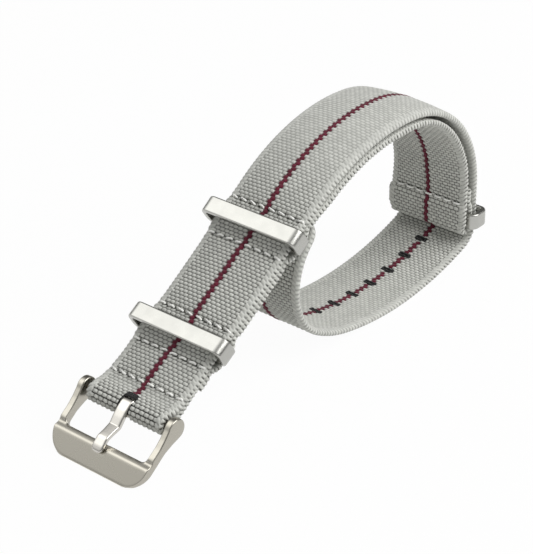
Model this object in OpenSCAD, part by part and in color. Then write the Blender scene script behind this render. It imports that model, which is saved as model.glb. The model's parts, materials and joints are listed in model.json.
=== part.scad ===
// Elastic woven watch strap, looped and buckled for storage, with a pin
// buckle, a retaining strap and three loose steel keepers.
// X runs along the loop from the buckle, Y across the webbing, Z up.

/* [Webbing] */
// Width of the webbing, for this lug width
strap_w = 20; // [18:0.5:22]
// Thickness of one layer of webbing
strap_t = 1.4; // [1.1:0.05:1.6]
// Width of the woven centre stripe
stripe_w = 1.1; // [0.6:0.1:2]
// Depth of the stripe yarn in each face
stripe_d = 0.2; // [0.1:0.05:0.3]

/* [Loop shape] */
// Rise of the front run from the table, in degrees
front_rise = 28.5; // [24:0.5:32]
// Length of the front run
front_len = 47; // [43:0.5:56]
// Turn along the front run, in degrees
front_turn = 6.5; // [4:0.5:10]
// Length of the crown over the top
crown_len = 35.5; // [32:0.5:42]
// Length of the shoulder behind the crown
shoulder_len = 37; // [33:0.5:42]
// Length of the straight back run
back_len = 9.3; // [8:0.1:14]
// Length of the bend under the end keeper
heel_len = 6.2; // [5:0.1:9]
// Length of the run on the table
sole_len = 42.5; // [40:0.5:50]
// Length of the first bend towards the tip
toe_len = 10; // [7:0.5:12]
// Length of the tapered tip
tip_len = 6; // [4:0.5:8]
// Gap between the tail and the front run where the taper starts
tip_gap = 1.5; // [1.2:0.1:3]

/* [Sewing] */
// Distance of the first seam row from the spring bar
row_a_at = 5.6; // [5.4:0.1:7]
// Length of webbing folded back under the spring bar
fold_back_len = 9.5; // [8:0.5:10.5]
// Distance of the lower keeper from the spring bar
lower_keeper_at = 17.7; // [17:0.1:20]
// Distance of the upper keeper from the spring bar
upper_keeper_at = 44.2; // [40:0.1:47]
// Distance between the two rows that close a keeper pocket
pocket_len = 8.9; // [8.6:0.1:10]
// Distance of the end seam from the end keeper
row_f_up = 4.2; // [3.1:0.1:4.6]
// Length of webbing folded back above the end keeper
end_fold_len = 7.1; // [5:0.1:7.4]
// Number of stitches in a seam row
stitches = 8; // [6:1:9]
// Thickness of the sewing thread
thread_t = 0.4; // [0.25:0.05:0.5]
// Length of one stitch
stitch_len = 1.35; // [1.1:0.05:1.5]
// Bare webbing at each end of a seam row
seam_end = 0.75; // [0.5:0.05:1.5]

/* [Tongue holes] */
// Number of tongue holes in the tail
holes = 7; // [5:1:8]
// Distance between tongue holes
hole_pitch = 6.35; // [5.5:0.05:7]
// Distance of the first tongue hole from the end keeper
first_hole_at = 10.6; // [10:0.1:14]
// Clear length of a tongue hole across the strap
hole_w = 2.8; // [2.5:0.1:3.2]
// Clear width of a tongue hole along the strap
hole_l = 0.6; // [0.5:0.05:1]
// Thickness of the yarn edge round a tongue hole
hole_edge = 0.3; // [0.25:0.05:0.5]

/* [Keepers] */
// Length of a keeper along the strap
keeper_l = 3.7; // [3:0.1:4]
// Thickness of the keeper wire, flattened
keeper_t = 1.1; // [0.8:0.05:1.3]
// Thickness of the keeper ends
keeper_end_t = 1.2; // [1:0.1:1.5]
// Outer corner radius of a keeper
keeper_r = 1.8; // [1.3:0.1:2]
// Free width beside the webbing in a keeper
keeper_side = 0.9; // [0.5:0.1:1.2]
// Travel of a keeper up its pocket
keeper_play = 0.4; // [0.1:0.05:0.5]

/* [Buckle] */
// Reach of the frame from the spring bar to its front edge
frame_reach = 14.2; // [13:0.1:15.5]
// Distance of the inner edge of the front bar from the spring bar
frame_inner = 8.4; // [8:0.1:9]
// Width of the flat rim on top of the front bar
rim_w = 1.3; // [1:0.1:1.6]
// Height of the rim above the spring bar line
rim_v = 1.1; // [0.9:0.05:1.3]
// Height of the underside below the spring bar line
under_v = 0.9; // [0.7:0.05:1]
// Thickness of each side arm
arm_t = 1.5; // [1.3:0.1:2]
// Free width between the webbing and each arm
arm_side = 0.8; // [0.5:0.1:1.2]
// Radius of the lug round the spring bar
lug_r = 2.2; // [2:0.1:2.6]
// Outer corner radius of the frame
frame_r = 4.6; // [2.5:0.1:5]
// Inner corner radius of the frame
inner_r = 1.3; // [0.8:0.1:2]
// Depth of the rest for the tongue in the rim
notch_d = 0.2; // [0.1:0.05:0.35]
// Width of the tongue
tongue_w = 2.7; // [2.2:0.1:3]
// Thickness of the tongue
tongue_t = 1.15; // [0.9:0.05:1.3]

/* [Spring bar] */
// Radius of the spring bar tube
tube_r = 0.8; // [0.75:0.05:1]
// Radius of the spring bar pins
pin_r = 0.5; // [0.4:0.05:0.6]
// Depth of the blind pin hole in each lug
pin_depth = 1.1; // [0.8:0.1:1.2]

/* [Fits] */
// Gap between layers of webbing that lie together
layer_gap = 0.05; // [0.02:0.01:0.1]
// Gap between webbing and a keeper bar
bar_gap = 0.15; // [0.1:0.01:0.25]
// Gap between the tail and the folded layer in the end keeper
slip_gap = 0.1; // [0.05:0.01:0.2]
// Radial running clearance of pins, tube and tongue
run_gap = 0.05; // [0.02:0.01:0.08]
// Side clearance of the tongue in its slot and notch
tongue_side = 0.2; // [0.15:0.05:0.3]
// Gap between a seated yarn or stripe piece and its groove
seat_gap = 0.02; // [0.01:0.01:0.04]
// Gap between the resting tongue and the front bar
rest_gap = 0.05; // [0.03:0.01:0.1]
// Height of the gap between both straps over the crown
crown_gap = 1; // [0.6:0.1:1.6]
// Height of the gap between both straps behind the wrist
back_gap = 1.9; // [1.4:0.1:2.2]

/* [Hidden] */
$fn = 48;
// Overlap of cutting bodies past what they cut
cut = 1;
// Turns of the loop behind the front run, in degrees
crown_turn = -42;
shoulder_turn = -(90 + front_rise + front_turn + crown_turn);
heel_turn = -72;
sole_turn = -32;
toe_turn = -18;
rise_turn = -102;
// Bend of the webbing where it comes down behind the spring bar
dip_angle = 28;
dip_r = 4;
half_t = strap_t / 2;
layer_pitch = strap_t + layer_gap;

// Fold round the spring bar
fold_r = tube_r + run_gap + half_t;
dip_drop = fold_r * cos(dip_angle) + fold_r - layer_pitch;
dip_run = (dip_drop - dip_r * (1 - cos(dip_angle))) / sin(dip_angle);
dip_end = (fold_r + dip_r) * sin(dip_angle) + dip_run * cos(dip_angle);
rad = PI / 180;

// A path state is [x, z, heading]. A leg is [length, turn].
function leg_end(p, leg) =
    let(a = leg[1] / 2,
        k = a == 0 ? 1 : sin(a) / (a * rad),
        h = p[2] + a)
    [p[0] + leg[0] * k * cos(h), p[1] + leg[0] * k * sin(h), p[2] + leg[1]];
function chain(start, legs) =
    [for (i = 0, p = start; i <= len(legs);
        p = i < len(legs) ? leg_end(p, legs[i]) : p, i = i + 1) p];
function lengths(legs) =
    [for (i = 0, a = 0; i <= len(legs);
        a = i < len(legs) ? a + legs[i][0] : a, i = i + 1) a];
function last(list) = list[len(list) - 1];

// Legs of the main strap: fold, front run, then round the wrist
start = [fold_back_len * cos(front_rise) + fold_r * sin(front_rise),
    fold_back_len * sin(front_rise) - fold_r * cos(front_rise),
    front_rise + 180];
known_legs = [
    [fold_back_len, 0],
    [fold_r * (180 + dip_angle) * rad, -(180 + dip_angle)],
    [dip_run, 0],
    [dip_r * dip_angle * rad, dip_angle],
    [front_len, front_turn],
    [crown_len, crown_turn],
    [shoulder_len, shoulder_turn],
    [back_len, 0],
    [heel_len, heel_turn],
    [sole_len, sole_turn],
    [toe_len, toe_turn]];
toe_end = last(chain(start, known_legs));
front_end = chain(start, known_legs)[5];
// The rise is as long as it takes to bring the tip under the front run
tip_drop = half_t + layer_pitch + half_t + tip_gap + half_t;
front_n = [-sin(front_end[2]), cos(front_end[2])];
rise_unit = leg_end(toe_end, [1, rise_turn]) - toe_end;
toe_offset = [toe_end[0] - front_end[0], toe_end[1] - front_end[1]] * front_n;
rise_len = (-tip_drop - toe_offset) /
    ([rise_unit[0], rise_unit[1]] * front_n);
legs = concat(known_legs, [[rise_len, rise_turn]]);
states = chain(start, legs);
sums = lengths(legs);
path_end = last(sums);

function leg_of(s, i = 0) =
    (i >= len(legs) - 1 || s < sums[i + 1]) ? i : leg_of(s, i + 1);
function at(s) =
    let(i = leg_of(s), f = (s - sums[i]) / legs[i][0])
    leg_end(states[i], [legs[i][0] * f, legs[i][1] * f]);
// Point at distance s, moved d towards the inside of the loop
function inside(s, d) =
    let(p = at(s)) [p[0] + d * sin(p[2]), p[1] - d * cos(p[2])];
// Stations along the legs, closer where the path turns
function stations(first, stop) =
    concat([first],
        [for (i = [0:len(legs) - 1])
            let(step = fold_step(i),
                n = max(1, ceil(max(abs(legs[i][1]) / step,
                    legs[i][0] / 6))))
            for (j = [0:n - 1])
                let(s = sums[i] + legs[i][0] * j / n)
                if (s > first + 0.1 && s < stop - 0.1) s],
        [stop]);
function fold_step(i) = i < 4 ? 12 : 4;
function reversed(list) = [for (i = [len(list) - 1:-1:0]) list[i]];
function band(list, low, high) =
    concat([for (s = list) inside(s, low)],
        reversed([for (s = list) inside(s, high)]));

// Places along the path; the end keeper hangs a little into its fold
turn_dip = 0.3;
function front_at(d) = sums[4] + d - dip_end;
row_a = front_at(row_a_at);
lower_keeper = front_at(lower_keeper_at);
upper_keeper = front_at(upper_keeper_at);
row_b = lower_keeper - pocket_len / 2;
row_c = lower_keeper + pocket_len / 2;
row_d = upper_keeper - pocket_len / 2;
row_e = upper_keeper + pocket_len / 2;
turn_at = sums[8];
end_keeper = turn_at - keeper_l / 2 + turn_dip;
row_f = end_keeper - row_f_up;
end_fold = end_keeper - end_fold_len;
short_start = front_at(fold_back_len + 0.3);

// Keeper opening and the layers that it holds
keeper_open = 2 * strap_t + slip_gap + 2 * bar_gap;
pocket_step = keeper_t + 2 * bar_gap;
pocket_low = keeper_l / 2 + 0.1;
pocket_high = keeper_l / 2 + keeper_play + 0.1;
// Offsets from the main strap's middle to the short strap's layers
sewn_off = layer_pitch;
pocket_off = half_t + pocket_step + half_t;
crown_off = strap_t + crown_gap;
back_off = strap_t + back_gap;
fold_off = half_t + slip_gap + half_t;
end_off = fold_off + half_t + pocket_step + half_t;
turn_off = (fold_off + end_off) / 2;
turn_in_r = pocket_step / 2;
turn_out_r = turn_in_r + strap_t;
row_f_off = end_off - 0.6;
// Stretches over which the short strap eases away from and back to the long one
crown_ease = pocket_len;
back_ease = pocket_len * 0.9;

function smooth(f) = let(g = min(1, max(0, f))) g * g * (3 - 2 * g);
function knot_ends(s, knots, i = 0) =
    (i >= len(knots) - 2 || s < knots[i + 1][0]) ? i
        : knot_ends(s, knots, i + 1);
function eased(s, knots) =
    let(i = knot_ends(s, knots), a = knots[i], b = knots[i + 1])
    a[1] + (b[1] - a[1]) * smooth((s - a[0]) / (b[0] - a[0]));
seam_half = 0.35;
short_knots = [
    [short_start, sewn_off],
    [row_b + seam_half, sewn_off],
    [lower_keeper - pocket_low, pocket_off],
    [lower_keeper + pocket_high, pocket_off],
    [row_c - seam_half, sewn_off],
    [row_d + seam_half, sewn_off],
    [upper_keeper - pocket_low, pocket_off],
    [upper_keeper + pocket_high, pocket_off],
    [row_e - seam_half, sewn_off],
    [row_e + seam_half, sewn_off],
    [row_e + crown_ease, crown_off],
    [sums[6], crown_off],
    [sums[7] - back_ease, back_off],
    [end_fold - 3, back_off + 0.2],
    [row_f, row_f_off],
    [end_keeper - pocket_high, end_off],
    [turn_at, end_off]];
function short_off(s) = eased(s, short_knots);
fold_knots = [
    [row_f, row_f_off - layer_pitch],
    [end_keeper - pocket_high, fold_off],
    [turn_at, fold_off]];
function end_off_at(s) =
    s < row_f ? short_off(s) - layer_pitch : eased(s, fold_knots);
function ramp(a, b, n) = [for (j = [1:n - 1]) a + (b - a) * j / n];
function merged(list, extra) =
    let(n = len(extra))
    n == 0 ? list :
    concat([for (s = list) if (s < extra[0] - 0.2) s], extra,
        [for (s = list) if (s > extra[n - 1] + 0.2) s]);
function knot_span(i) =
    concat([short_knots[i][0]],
        ramp(short_knots[i][0], short_knots[i + 1][0], 6),
        [short_knots[i + 1][0]]);
short_list_1 = stations(short_start, turn_at);
short_list_2 = merged(short_list_1, knot_span(1));
short_list_3 = merged(short_list_2, knot_span(3));
short_list_4 = merged(short_list_3, knot_span(5));
short_list_5 = merged(short_list_4, knot_span(7));
short_list_6 = merged(short_list_5, knot_span(9));
short_list = merged(short_list_6, concat([end_fold],
    ramp(row_f, end_keeper - pocket_high, 6),
    [end_keeper - pocket_high]));
fold_list = [for (s = short_list) if (s >= end_fold - 0.001) s];

// Half circle of the short strap round the end keeper's inner bar
function turn_arc(r, a0, a1, n = 16) =
    let(p = at(turn_at))
    [for (j = [0:n])
        let(a = a0 + (a1 - a0) * j / n,
            along = r * sin(a),
            off = turn_off + r * cos(a))
        [p[0] + along * cos(p[2]) + off * sin(p[2]),
         p[1] + along * sin(p[2]) - off * cos(p[2])]];
function short_outline(skin = 0) =
    concat(
        [for (s = short_list) inside(s, short_off(s) - half_t)],
        turn_arc(turn_in_r, 0, 180),
        reversed([for (s = fold_list) inside(s, end_off_at(s) + half_t)]),
        [for (s = fold_list) inside(s, end_off_at(s) - half_t + skin)],
        turn_arc(turn_out_r - skin, 180, 0),
        reversed([for (s = short_list)
            inside(s, short_off(s) + half_t - skin)]));
function short_skin(d) =
    concat(
        [for (s = short_list) inside(s, short_off(s) + half_t - d)],
        turn_arc(turn_out_r - d, 0, 180),
        reversed([for (s = fold_list) inside(s, end_off_at(s) - half_t + d)]),
        [for (s = fold_list) inside(s, end_off_at(s) - half_t)],
        turn_arc(turn_out_r, 180, 0),
        reversed([for (s = short_list) inside(s, short_off(s) + half_t)]));
main_list = stations(0, path_end);
stripe_list = stations(0, path_end - 0.1);

// Frame angle that rests the front edge on the same table as the strap
foot_v = -0.5;
outer_low = min([for (s = main_list) inside(s, -half_t)[1]]);
foot_reach = norm([frame_reach, foot_v]);
frame_angle = asin(min(0.95, -outer_low / foot_reach))
    - asin(-foot_v / foot_reach);
slope_u = frame_inner + rim_w;
// Where the arm's taper starts and where it ends
neck_u = frame_inner * 0.38;
waist_u = frame_inner * 0.6;
foot_back = 0.6;
frame_low = min(
    -sin(frame_angle) * frame_reach + cos(frame_angle) * foot_v,
    -sin(frame_angle) * (frame_reach - foot_back) - cos(frame_angle) *
        (foot_back * tan(frame_angle) - foot_v));
low_z = min(outer_low, frame_low);
// Middle of the whole part along X, between buckle edge and end keeper
keeper_right = at(end_keeper)[0] + half_t + bar_gap + keeper_t;
strap_right = max([for (s = main_list) inside(s, -half_t)[0]]);
frame_left = -cos(frame_angle) * frame_reach - sin(frame_angle) * foot_v;
mid_x = (max(keeper_right, strap_right) + frame_left) / 2;

module place() translate([-mid_x, 0, -low_z]) children();
// Local frame at distance s: X along the strap, Z away from the wrist
module on_path(s, d = 0) {
    h = at(s)[2];
    q = inside(s, d);
    translate([q[0], 0, q[1]]) rotate([0, -h, 0]) children();
}
module prism(points, y0, y1)
    translate([0, y1, 0]) rotate([90, 0, 0])
        linear_extrude(height = y1 - y0) polygon(points);
// Webbing of full thickness with a groove of depth d in both faces
module slot_2d(w, l) {
    square([l, w - l], center = true);
    translate([0, (w - l) / 2]) circle(d = l);
    translate([0, -(w - l) / 2]) circle(d = l);
}
function hole_s(i) = end_keeper + first_hole_at + i * hole_pitch;
hole_outer_w = hole_w + 2 * hole_edge;
hole_outer_l = hole_l + 2 * hole_edge;
module hole_cutters()
    for (i = [0:holes - 1])
        on_path(hole_s(i)) translate([0, 0, -strap_t])
            linear_extrude(height = 2 * strap_t)
                slot_2d(hole_outer_w, hole_outer_l);

// Slot in the fold for the tongue's eye
eye_r = tube_r + run_gap + tongue_t;
fold_slot_w = tongue_w + 2 * tongue_side;
fold_slot_r = eye_r + 0.5;
edge_bar = 0.35;
module fold_slot(w = fold_slot_w, r = fold_slot_r)
    translate([0, w / 2, 0]) rotate([90, 0, 0])
        cylinder(r = r, h = w);

// Overlap that joins the tapered tip to the bent webbing
tip_join = 0.05;
module tip_plate()
    on_path(path_end) translate([0, 0, -half_t])
        linear_extrude(height = strap_t)
            polygon([[-tip_join, -strap_w / 2],
                [tip_len * 0.5, -strap_w * 0.44],
                [tip_len * 0.85, -strap_w * 0.33],
                [tip_len, -strap_w * 0.2], [tip_len, strap_w * 0.2],
                [tip_len * 0.85, strap_w * 0.33],
                [tip_len * 0.5, strap_w * 0.44],
                [-tip_join, strap_w / 2]]);

module main_strap() color("silver") place() difference() {
    union() {
        prism(band(main_list, -half_t, half_t), -strap_w / 2,
            -stripe_w / 2);
        prism(band(main_list, -half_t + stripe_d, half_t - stripe_d),
            -stripe_w / 2, stripe_w / 2);
        prism(band(main_list, -half_t, half_t), stripe_w / 2,
            strap_w / 2);
        tip_plate();
    }
    hole_cutters();
    fold_slot(fold_slot_w + 2 * edge_bar, fold_slot_r);
}

module main_stripe() color("maroon") place() difference() {
    union() {
        prism(band(stripe_list, -half_t, -half_t + stripe_d - seat_gap),
            seat_gap - stripe_w / 2, stripe_w / 2 - seat_gap);
        prism(band(stripe_list, half_t - stripe_d + seat_gap, half_t),
            seat_gap - stripe_w / 2, stripe_w / 2 - seat_gap);
    }
    hole_cutters();
    fold_slot(fold_slot_w + 2 * edge_bar, fold_slot_r);
}

module short_strap() color("gainsboro") place() union() {
    prism(short_outline(), -strap_w / 2, -stripe_w / 2);
    prism(short_outline(stripe_d), -stripe_w / 2, stripe_w / 2);
    prism(short_outline(), stripe_w / 2, strap_w / 2);
}

module short_stripe() color("maroon") place()
    prism(short_skin(stripe_d - seat_gap), seat_gap - stripe_w / 2,
        stripe_w / 2 - seat_gap);

module tongue_hole_edges() color("black") place()
    for (i = [0:holes - 1])
        on_path(hole_s(i)) translate([0, 0, -half_t])
            linear_extrude(height = strap_t) difference() {
                slot_2d(hole_outer_w - 2 * seat_gap,
                    hole_outer_l - 2 * seat_gap);
                slot_2d(hole_w, hole_l);
            }

// Yarn edge on both sides of the fold slot, curved like the fold
module fold_slot_edge() color("black") place()
    for (side = [-1, 1])
        translate([0, side * (fold_slot_w + edge_bar) / 2, 0])
            intersection() {
                prism(band(stations(0, sums[4]), -half_t, half_t),
                    -edge_bar / 2 + seat_gap, edge_bar / 2 - seat_gap);
                fold_slot(edge_bar, fold_slot_r - seat_gap);
            }

// Slack of the last row's lower thread, where the webbing slopes
row_f_slack = 0.08;
// One thread that runs up and down through layers of total height h
module stitch_row(s, top, h) {
    run = strap_w - 2 * seam_end;
    pitch = (run - stitch_len) / (stitches - 1);
    on_path(s, top) rotate([90, 0, 90])
        translate([0, 0, -thread_t / 2]) linear_extrude(height = thread_t)
            union() {
                for (i = [0:stitches - 1])
                    let(y = -run / 2 + i * pitch) {
                        translate([y, 0])
                            square([stitch_len, thread_t]);
                        translate([y, -h])
                            square([thread_t, h]);
                        translate([y + stitch_len - thread_t, -h])
                            square([thread_t, h]);
                    }
                for (i = [0:stitches - 2])
                    let(y = -run / 2 + i * pitch + stitch_len - thread_t)
                        translate([y, -h - thread_t])
                            square([pitch - stitch_len + 2 * thread_t, thread_t]);
            }
}
two_layers = strap_t + layer_pitch;
module stitch_row_a() color("white") place()
    stitch_row(row_a, -half_t, two_layers);
module stitch_row_b() color("white") place()
    stitch_row(row_b, -half_t, two_layers);
module stitch_row_c() color("white") place()
    stitch_row(row_c, -half_t, two_layers);
module stitch_row_d() color("white") place()
    stitch_row(row_d, -half_t, two_layers);
module stitch_row_e() color("white") place()
    stitch_row(row_e, -half_t, two_layers);
module stitch_row_f() color("white") place()
    stitch_row(row_f, row_f_off - layer_pitch - half_t,
        two_layers + row_f_slack);

module rounded(w, h, r) {
    square([w, h - 2 * r], center = true);
    square([w - 2 * r, h], center = true);
    for (x = [-1, 1], y = [-1, 1])
        translate([x * (w / 2 - r), y * (h / 2 - r)]) circle(r = r);
}
// Flat steel ring, its opening centred on the local origin
module keeper() {
    open_w = strap_w + 2 * keeper_side;
    rotate([90, 0, 90]) translate([0, 0, -keeper_l / 2])
        linear_extrude(height = keeper_l) difference() {
            rounded(open_w + 2 * keeper_end_t, keeper_open + 2 * keeper_t,
                keeper_r);
            rounded(open_w, keeper_open,
                max(0.2, keeper_r - keeper_end_t));
        }
}
sewn_keeper_off = half_t + bar_gap - keeper_open / 2;
end_keeper_off = keeper_open / 2 - half_t - bar_gap;
module keeper_lower() color("lightsteelblue") place()
    on_path(lower_keeper, sewn_keeper_off) keeper();
module keeper_upper() color("lightsteelblue") place()
    on_path(upper_keeper, sewn_keeper_off) keeper();
module keeper_end() color("lightsteelblue") place()
    on_path(end_keeper, end_keeper_off) keeper();

// Buckle parts: local X points from the front bar to the strap
frame_in = strap_w / 2 + arm_side;
frame_out = frame_in + arm_t;
module in_frame() place() rotate([0, -frame_angle, 0]) children();
module side_prism(y) translate([0, y, 0]) rotate([90, 0, 0])
    linear_extrude(height = 2 * y) children();
module frame_side() {
    circle(r = lug_r);
    polygon([[0.6, lug_r * 0.96], [-1.2, lug_r * 0.84],
        [-neck_u, rim_v + 0.25], [-waist_u, rim_v], [-slope_u, rim_v],
        [-frame_reach, foot_v],
        [-frame_reach + foot_back, foot_v - foot_back * tan(frame_angle)],
        [-frame_inner - 0.7, -under_v], [-waist_u, -under_v],
        [-2.6, -lug_r * 0.66], [-0.8, -lug_r * 0.93],
        [0.6, -lug_r * 0.96]]);
}
module frame_plan() {
    translate([-frame_reach, frame_r - frame_out])
        square([frame_reach + lug_r + cut, 2 * (frame_out - frame_r)]);
    translate([frame_r - frame_reach, -frame_out])
        square([frame_reach - frame_r + lug_r + cut, 2 * frame_out]);
    for (y = [-1, 1])
        translate([frame_r - frame_reach, y * (frame_out - frame_r)])
            circle(r = frame_r);
}
module opening_plan() {
    reach = frame_inner + 0.75;
    translate([-reach, inner_r - frame_in])
        square([reach + lug_r + cut, 2 * (frame_in - inner_r)]);
    translate([inner_r - reach, -frame_in])
        square([reach - inner_r + lug_r + cut, 2 * frame_in]);
    for (y = [-1, 1])
        translate([inner_r - reach, y * (frame_in - inner_r)])
            circle(r = inner_r);
}
module buckle_frame() color("slategray") in_frame() difference() {
    intersection() {
        side_prism(frame_out) frame_side();
        translate([0, 0, -frame_reach])
            linear_extrude(height = 2 * frame_reach) frame_plan();
    }
    intersection() {
        translate([0, 0, -frame_reach])
            linear_extrude(height = 2 * frame_reach) opening_plan();
        side_prism(frame_in) polygon([[lug_r + cut, lug_r + cut],
            [-frame_inner, lug_r + cut], [-frame_inner, rim_v],
            [-frame_inner - 0.7, -under_v],
            [-frame_inner - 0.7, -lug_r - cut],
            [lug_r + cut, -lug_r - cut]]);
    }
    for (side = [-1, 1])
        translate([0, side * (frame_in + pin_depth / 2 - cut / 2), 0])
            rotate([90, 0, 0])
                cylinder(r = pin_r + run_gap, h = pin_depth + cut,
                    center = true);
    side_prism(tongue_w / 2 + tongue_side)
        polygon([[-frame_inner + cut, rim_v - notch_d],
            [-slope_u, rim_v - notch_d],
            [-slope_u - 2 * notch_d / slope_rate, rim_v - 3 * notch_d],
            [-slope_u - 2 * notch_d / slope_rate, rim_v + cut],
            [-frame_inner + cut, rim_v + cut]]);
}
slope_rate = (rim_v - foot_v) / (frame_reach - slope_u);

// Bent tongue, its middle line given by distance and height
tongue_mid = rim_v - notch_d + rest_gap + tongue_t / 2;
eye_mid = tube_r + run_gap + tongue_t / 2;
tongue_line = [[0, eye_mid], [1.4, eye_mid - 0.05],
    [2.8, eye_mid - 0.22], [4, eye_mid - 0.35],
    [frame_inner - 3.2, eye_mid - 0.3],
    [frame_inner - 2.2, (eye_mid + tongue_mid) / 2 - 0.02],
    [frame_inner - 1.1, tongue_mid + 0.12],
    [frame_inner + 0.1, tongue_mid + 0.14], [slope_u, tongue_mid + 0.04],
    [slope_u + 0.65, tongue_mid - 0.16],
    [slope_u + 1.15, tongue_mid - 0.4]];
function line_dir(list, i) =
    let(a = list[max(0, i - 1)], b = list[min(len(list) - 1, i + 1)],
        d = b - a) d / norm(d);
function line_side(list, d) =
    [for (i = [0:len(list) - 1])
        let(n = line_dir(list, i),
            q = list[i] + d * (i == len(list) - 1 ? 0.75 : 1) *
                [-n[1], n[0]])
        [-q[0], q[1]]];
module buckle_tongue() color("gray") in_frame() difference() {
    side_prism(tongue_w / 2) union() {
        circle(r = eye_r);
        polygon(concat(line_side(tongue_line, tongue_t / 2),
            reversed(line_side(tongue_line, -tongue_t / 2))));
    }
    translate([0, tongue_w / 2 + cut, 0]) rotate([90, 0, 0])
        cylinder(r = tube_r + run_gap, h = tongue_w + 2 * cut);
}

// Spring bar: a tube and two pins that slide into it
tube_half = frame_in - 0.25;
pin_end = frame_in + pin_depth - 0.15;
pin_len = 4.8;
module along_y(r, y0, y1) translate([0, y1, 0]) rotate([90, 0, 0])
    cylinder(r = r, h = y1 - y0);
module spring_bar_tube() color("dimgray") in_frame() difference() {
    along_y(tube_r, -tube_half, tube_half);
    along_y(pin_r + run_gap, -tube_half - cut, tube_half + cut);
}
module spring_bar_pin_near() color("gray") in_frame()
    along_y(pin_r, -pin_end, pin_len - pin_end);
module spring_bar_pin_far() color("gray") in_frame()
    along_y(pin_r, pin_end - pin_len, pin_end);

main_strap();
main_stripe();
short_strap();
short_stripe();
tongue_hole_edges();
fold_slot_edge();
stitch_row_a();
stitch_row_b();
stitch_row_c();
stitch_row_d();
stitch_row_e();
stitch_row_f();
keeper_lower();
keeper_upper();
keeper_end();
buckle_frame();
buckle_tongue();
spring_bar_tube();
spring_bar_pin_near();
spring_bar_pin_far();
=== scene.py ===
"""Dresses the woven watch strap: webbing, centre stripe, seams, keepers and pin buckle."""

import json
import logging
import math
from dataclasses import dataclass, field
from enum import Enum
from typing import Callable, Iterable, Sequence

import bmesh
import bpy
from mathutils import Matrix, Vector


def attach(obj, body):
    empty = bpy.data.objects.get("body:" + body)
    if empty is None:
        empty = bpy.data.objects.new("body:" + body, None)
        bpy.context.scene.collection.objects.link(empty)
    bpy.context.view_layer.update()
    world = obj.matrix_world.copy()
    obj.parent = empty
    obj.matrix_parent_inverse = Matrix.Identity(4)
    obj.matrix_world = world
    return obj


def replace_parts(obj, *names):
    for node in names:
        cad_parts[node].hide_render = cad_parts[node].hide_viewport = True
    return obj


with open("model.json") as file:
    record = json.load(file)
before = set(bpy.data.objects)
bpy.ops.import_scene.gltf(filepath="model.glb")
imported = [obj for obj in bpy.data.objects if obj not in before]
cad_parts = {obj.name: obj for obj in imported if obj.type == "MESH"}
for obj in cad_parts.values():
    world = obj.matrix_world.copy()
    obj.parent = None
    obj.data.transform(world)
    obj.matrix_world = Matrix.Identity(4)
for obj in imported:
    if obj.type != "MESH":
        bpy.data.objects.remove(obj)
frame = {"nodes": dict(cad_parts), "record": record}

LOG = logging.getLogger("watch_strap")
MM = 0.001
Point = tuple[float, float, float]
Color = tuple[float, float, float]
Place = tuple[float, float]
Ease = tuple[float, float]
Pair = tuple[float, float]
# Points round a yarn, and the height in the weave that sets its painted shade.
YARN_SIDES = 8
YARN_SHADE = 0.8
# Below this a yarn runs too nearly across the strap to be squared against that direction.
LEAST_CROSS = 0.3


def smooth(value: float) -> float:
    """Ease from 0 to 1, flat at both ends."""
    v = min(1.0, max(0.0, value))
    return v * v * (3.0 - 2.0 * v)


def ramp(distance: float, ease: Ease) -> float:
    """Ease from 0 to 1 along a stretch that is given by its start and its length."""
    return smooth((distance - ease[0]) / ease[1])


def bell(distance: float, width: float) -> float:
    """Height of a soft bump of that half width at a distance from its middle."""
    return math.exp(-((distance / width) ** 2))


class Side(Enum):
    """Which face of the webbing a thing lies on."""

    OUTER = 1
    INNER = -1


class Region(Enum):
    """Which stretch of the short strap a point belongs to."""

    RUN = "run"
    TURN = "turn"
    FOLD = "fold"


@dataclass(frozen=True)
class WebbingSizes:
    """Sizes of the webbing and its weave, in millimetres."""

    width: float = 20.0
    thickness: float = 1.4
    layer_gap: float = 0.05
    row_pitch: float = 0.75
    knuckle_pitch: float = 1.22
    knuckle_depth: float = 0.34
    groove: float = 0.12
    row_groove: float = 0.15
    selvedge: float = 1.45
    selvedge_steps: int = 7
    stripe_sink: float = 0.2
    seam_press: float = 0.16
    seam_press_half: float = 0.55
    needle_depth: float = 0.5
    needle_half: Pair = (0.42, 0.36)
    needle_reach: float = 0.9

    @property
    def half(self) -> float:
        """Half the thickness."""
        return self.thickness / 2

    @property
    def layer_pitch(self) -> float:
        """Distance between the middles of two layers that lie together."""
        return self.thickness + self.layer_gap


@dataclass(frozen=True)
class WeaveForm:
    """Plain numbers for the form of the knuckles, the selvedge's ribs, the stripe and the tip, and for
    the painted shade in the weave.
    """

    bead_square: float = 3.2
    row_square: float = 2.6
    roundness: float = 0.7
    gap_floor: float = 0.22
    bead_floor: float = 0.1
    bent_floor: float = 0.2
    bent_depth: float = 0.4
    rib_rows: float = 1.3
    rib_slant: float = 0.45
    rib_twist: float = 0.5
    rib_sharpness: float = 1.2
    rib_least: float = 0.55
    middle_shade: float = 0.62
    needle_shade: float = 0.95
    stripe_reach: float = 0.49
    stripe_deep: float = 0.24
    stripe_high: float = 0.31
    stripe_rows: float = 0.7
    stripe_square: float = 0.6
    stripe_tint: float = 0.45
    tip_narrowing: float = 0.62
    tip_square: float = 3.2


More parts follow.
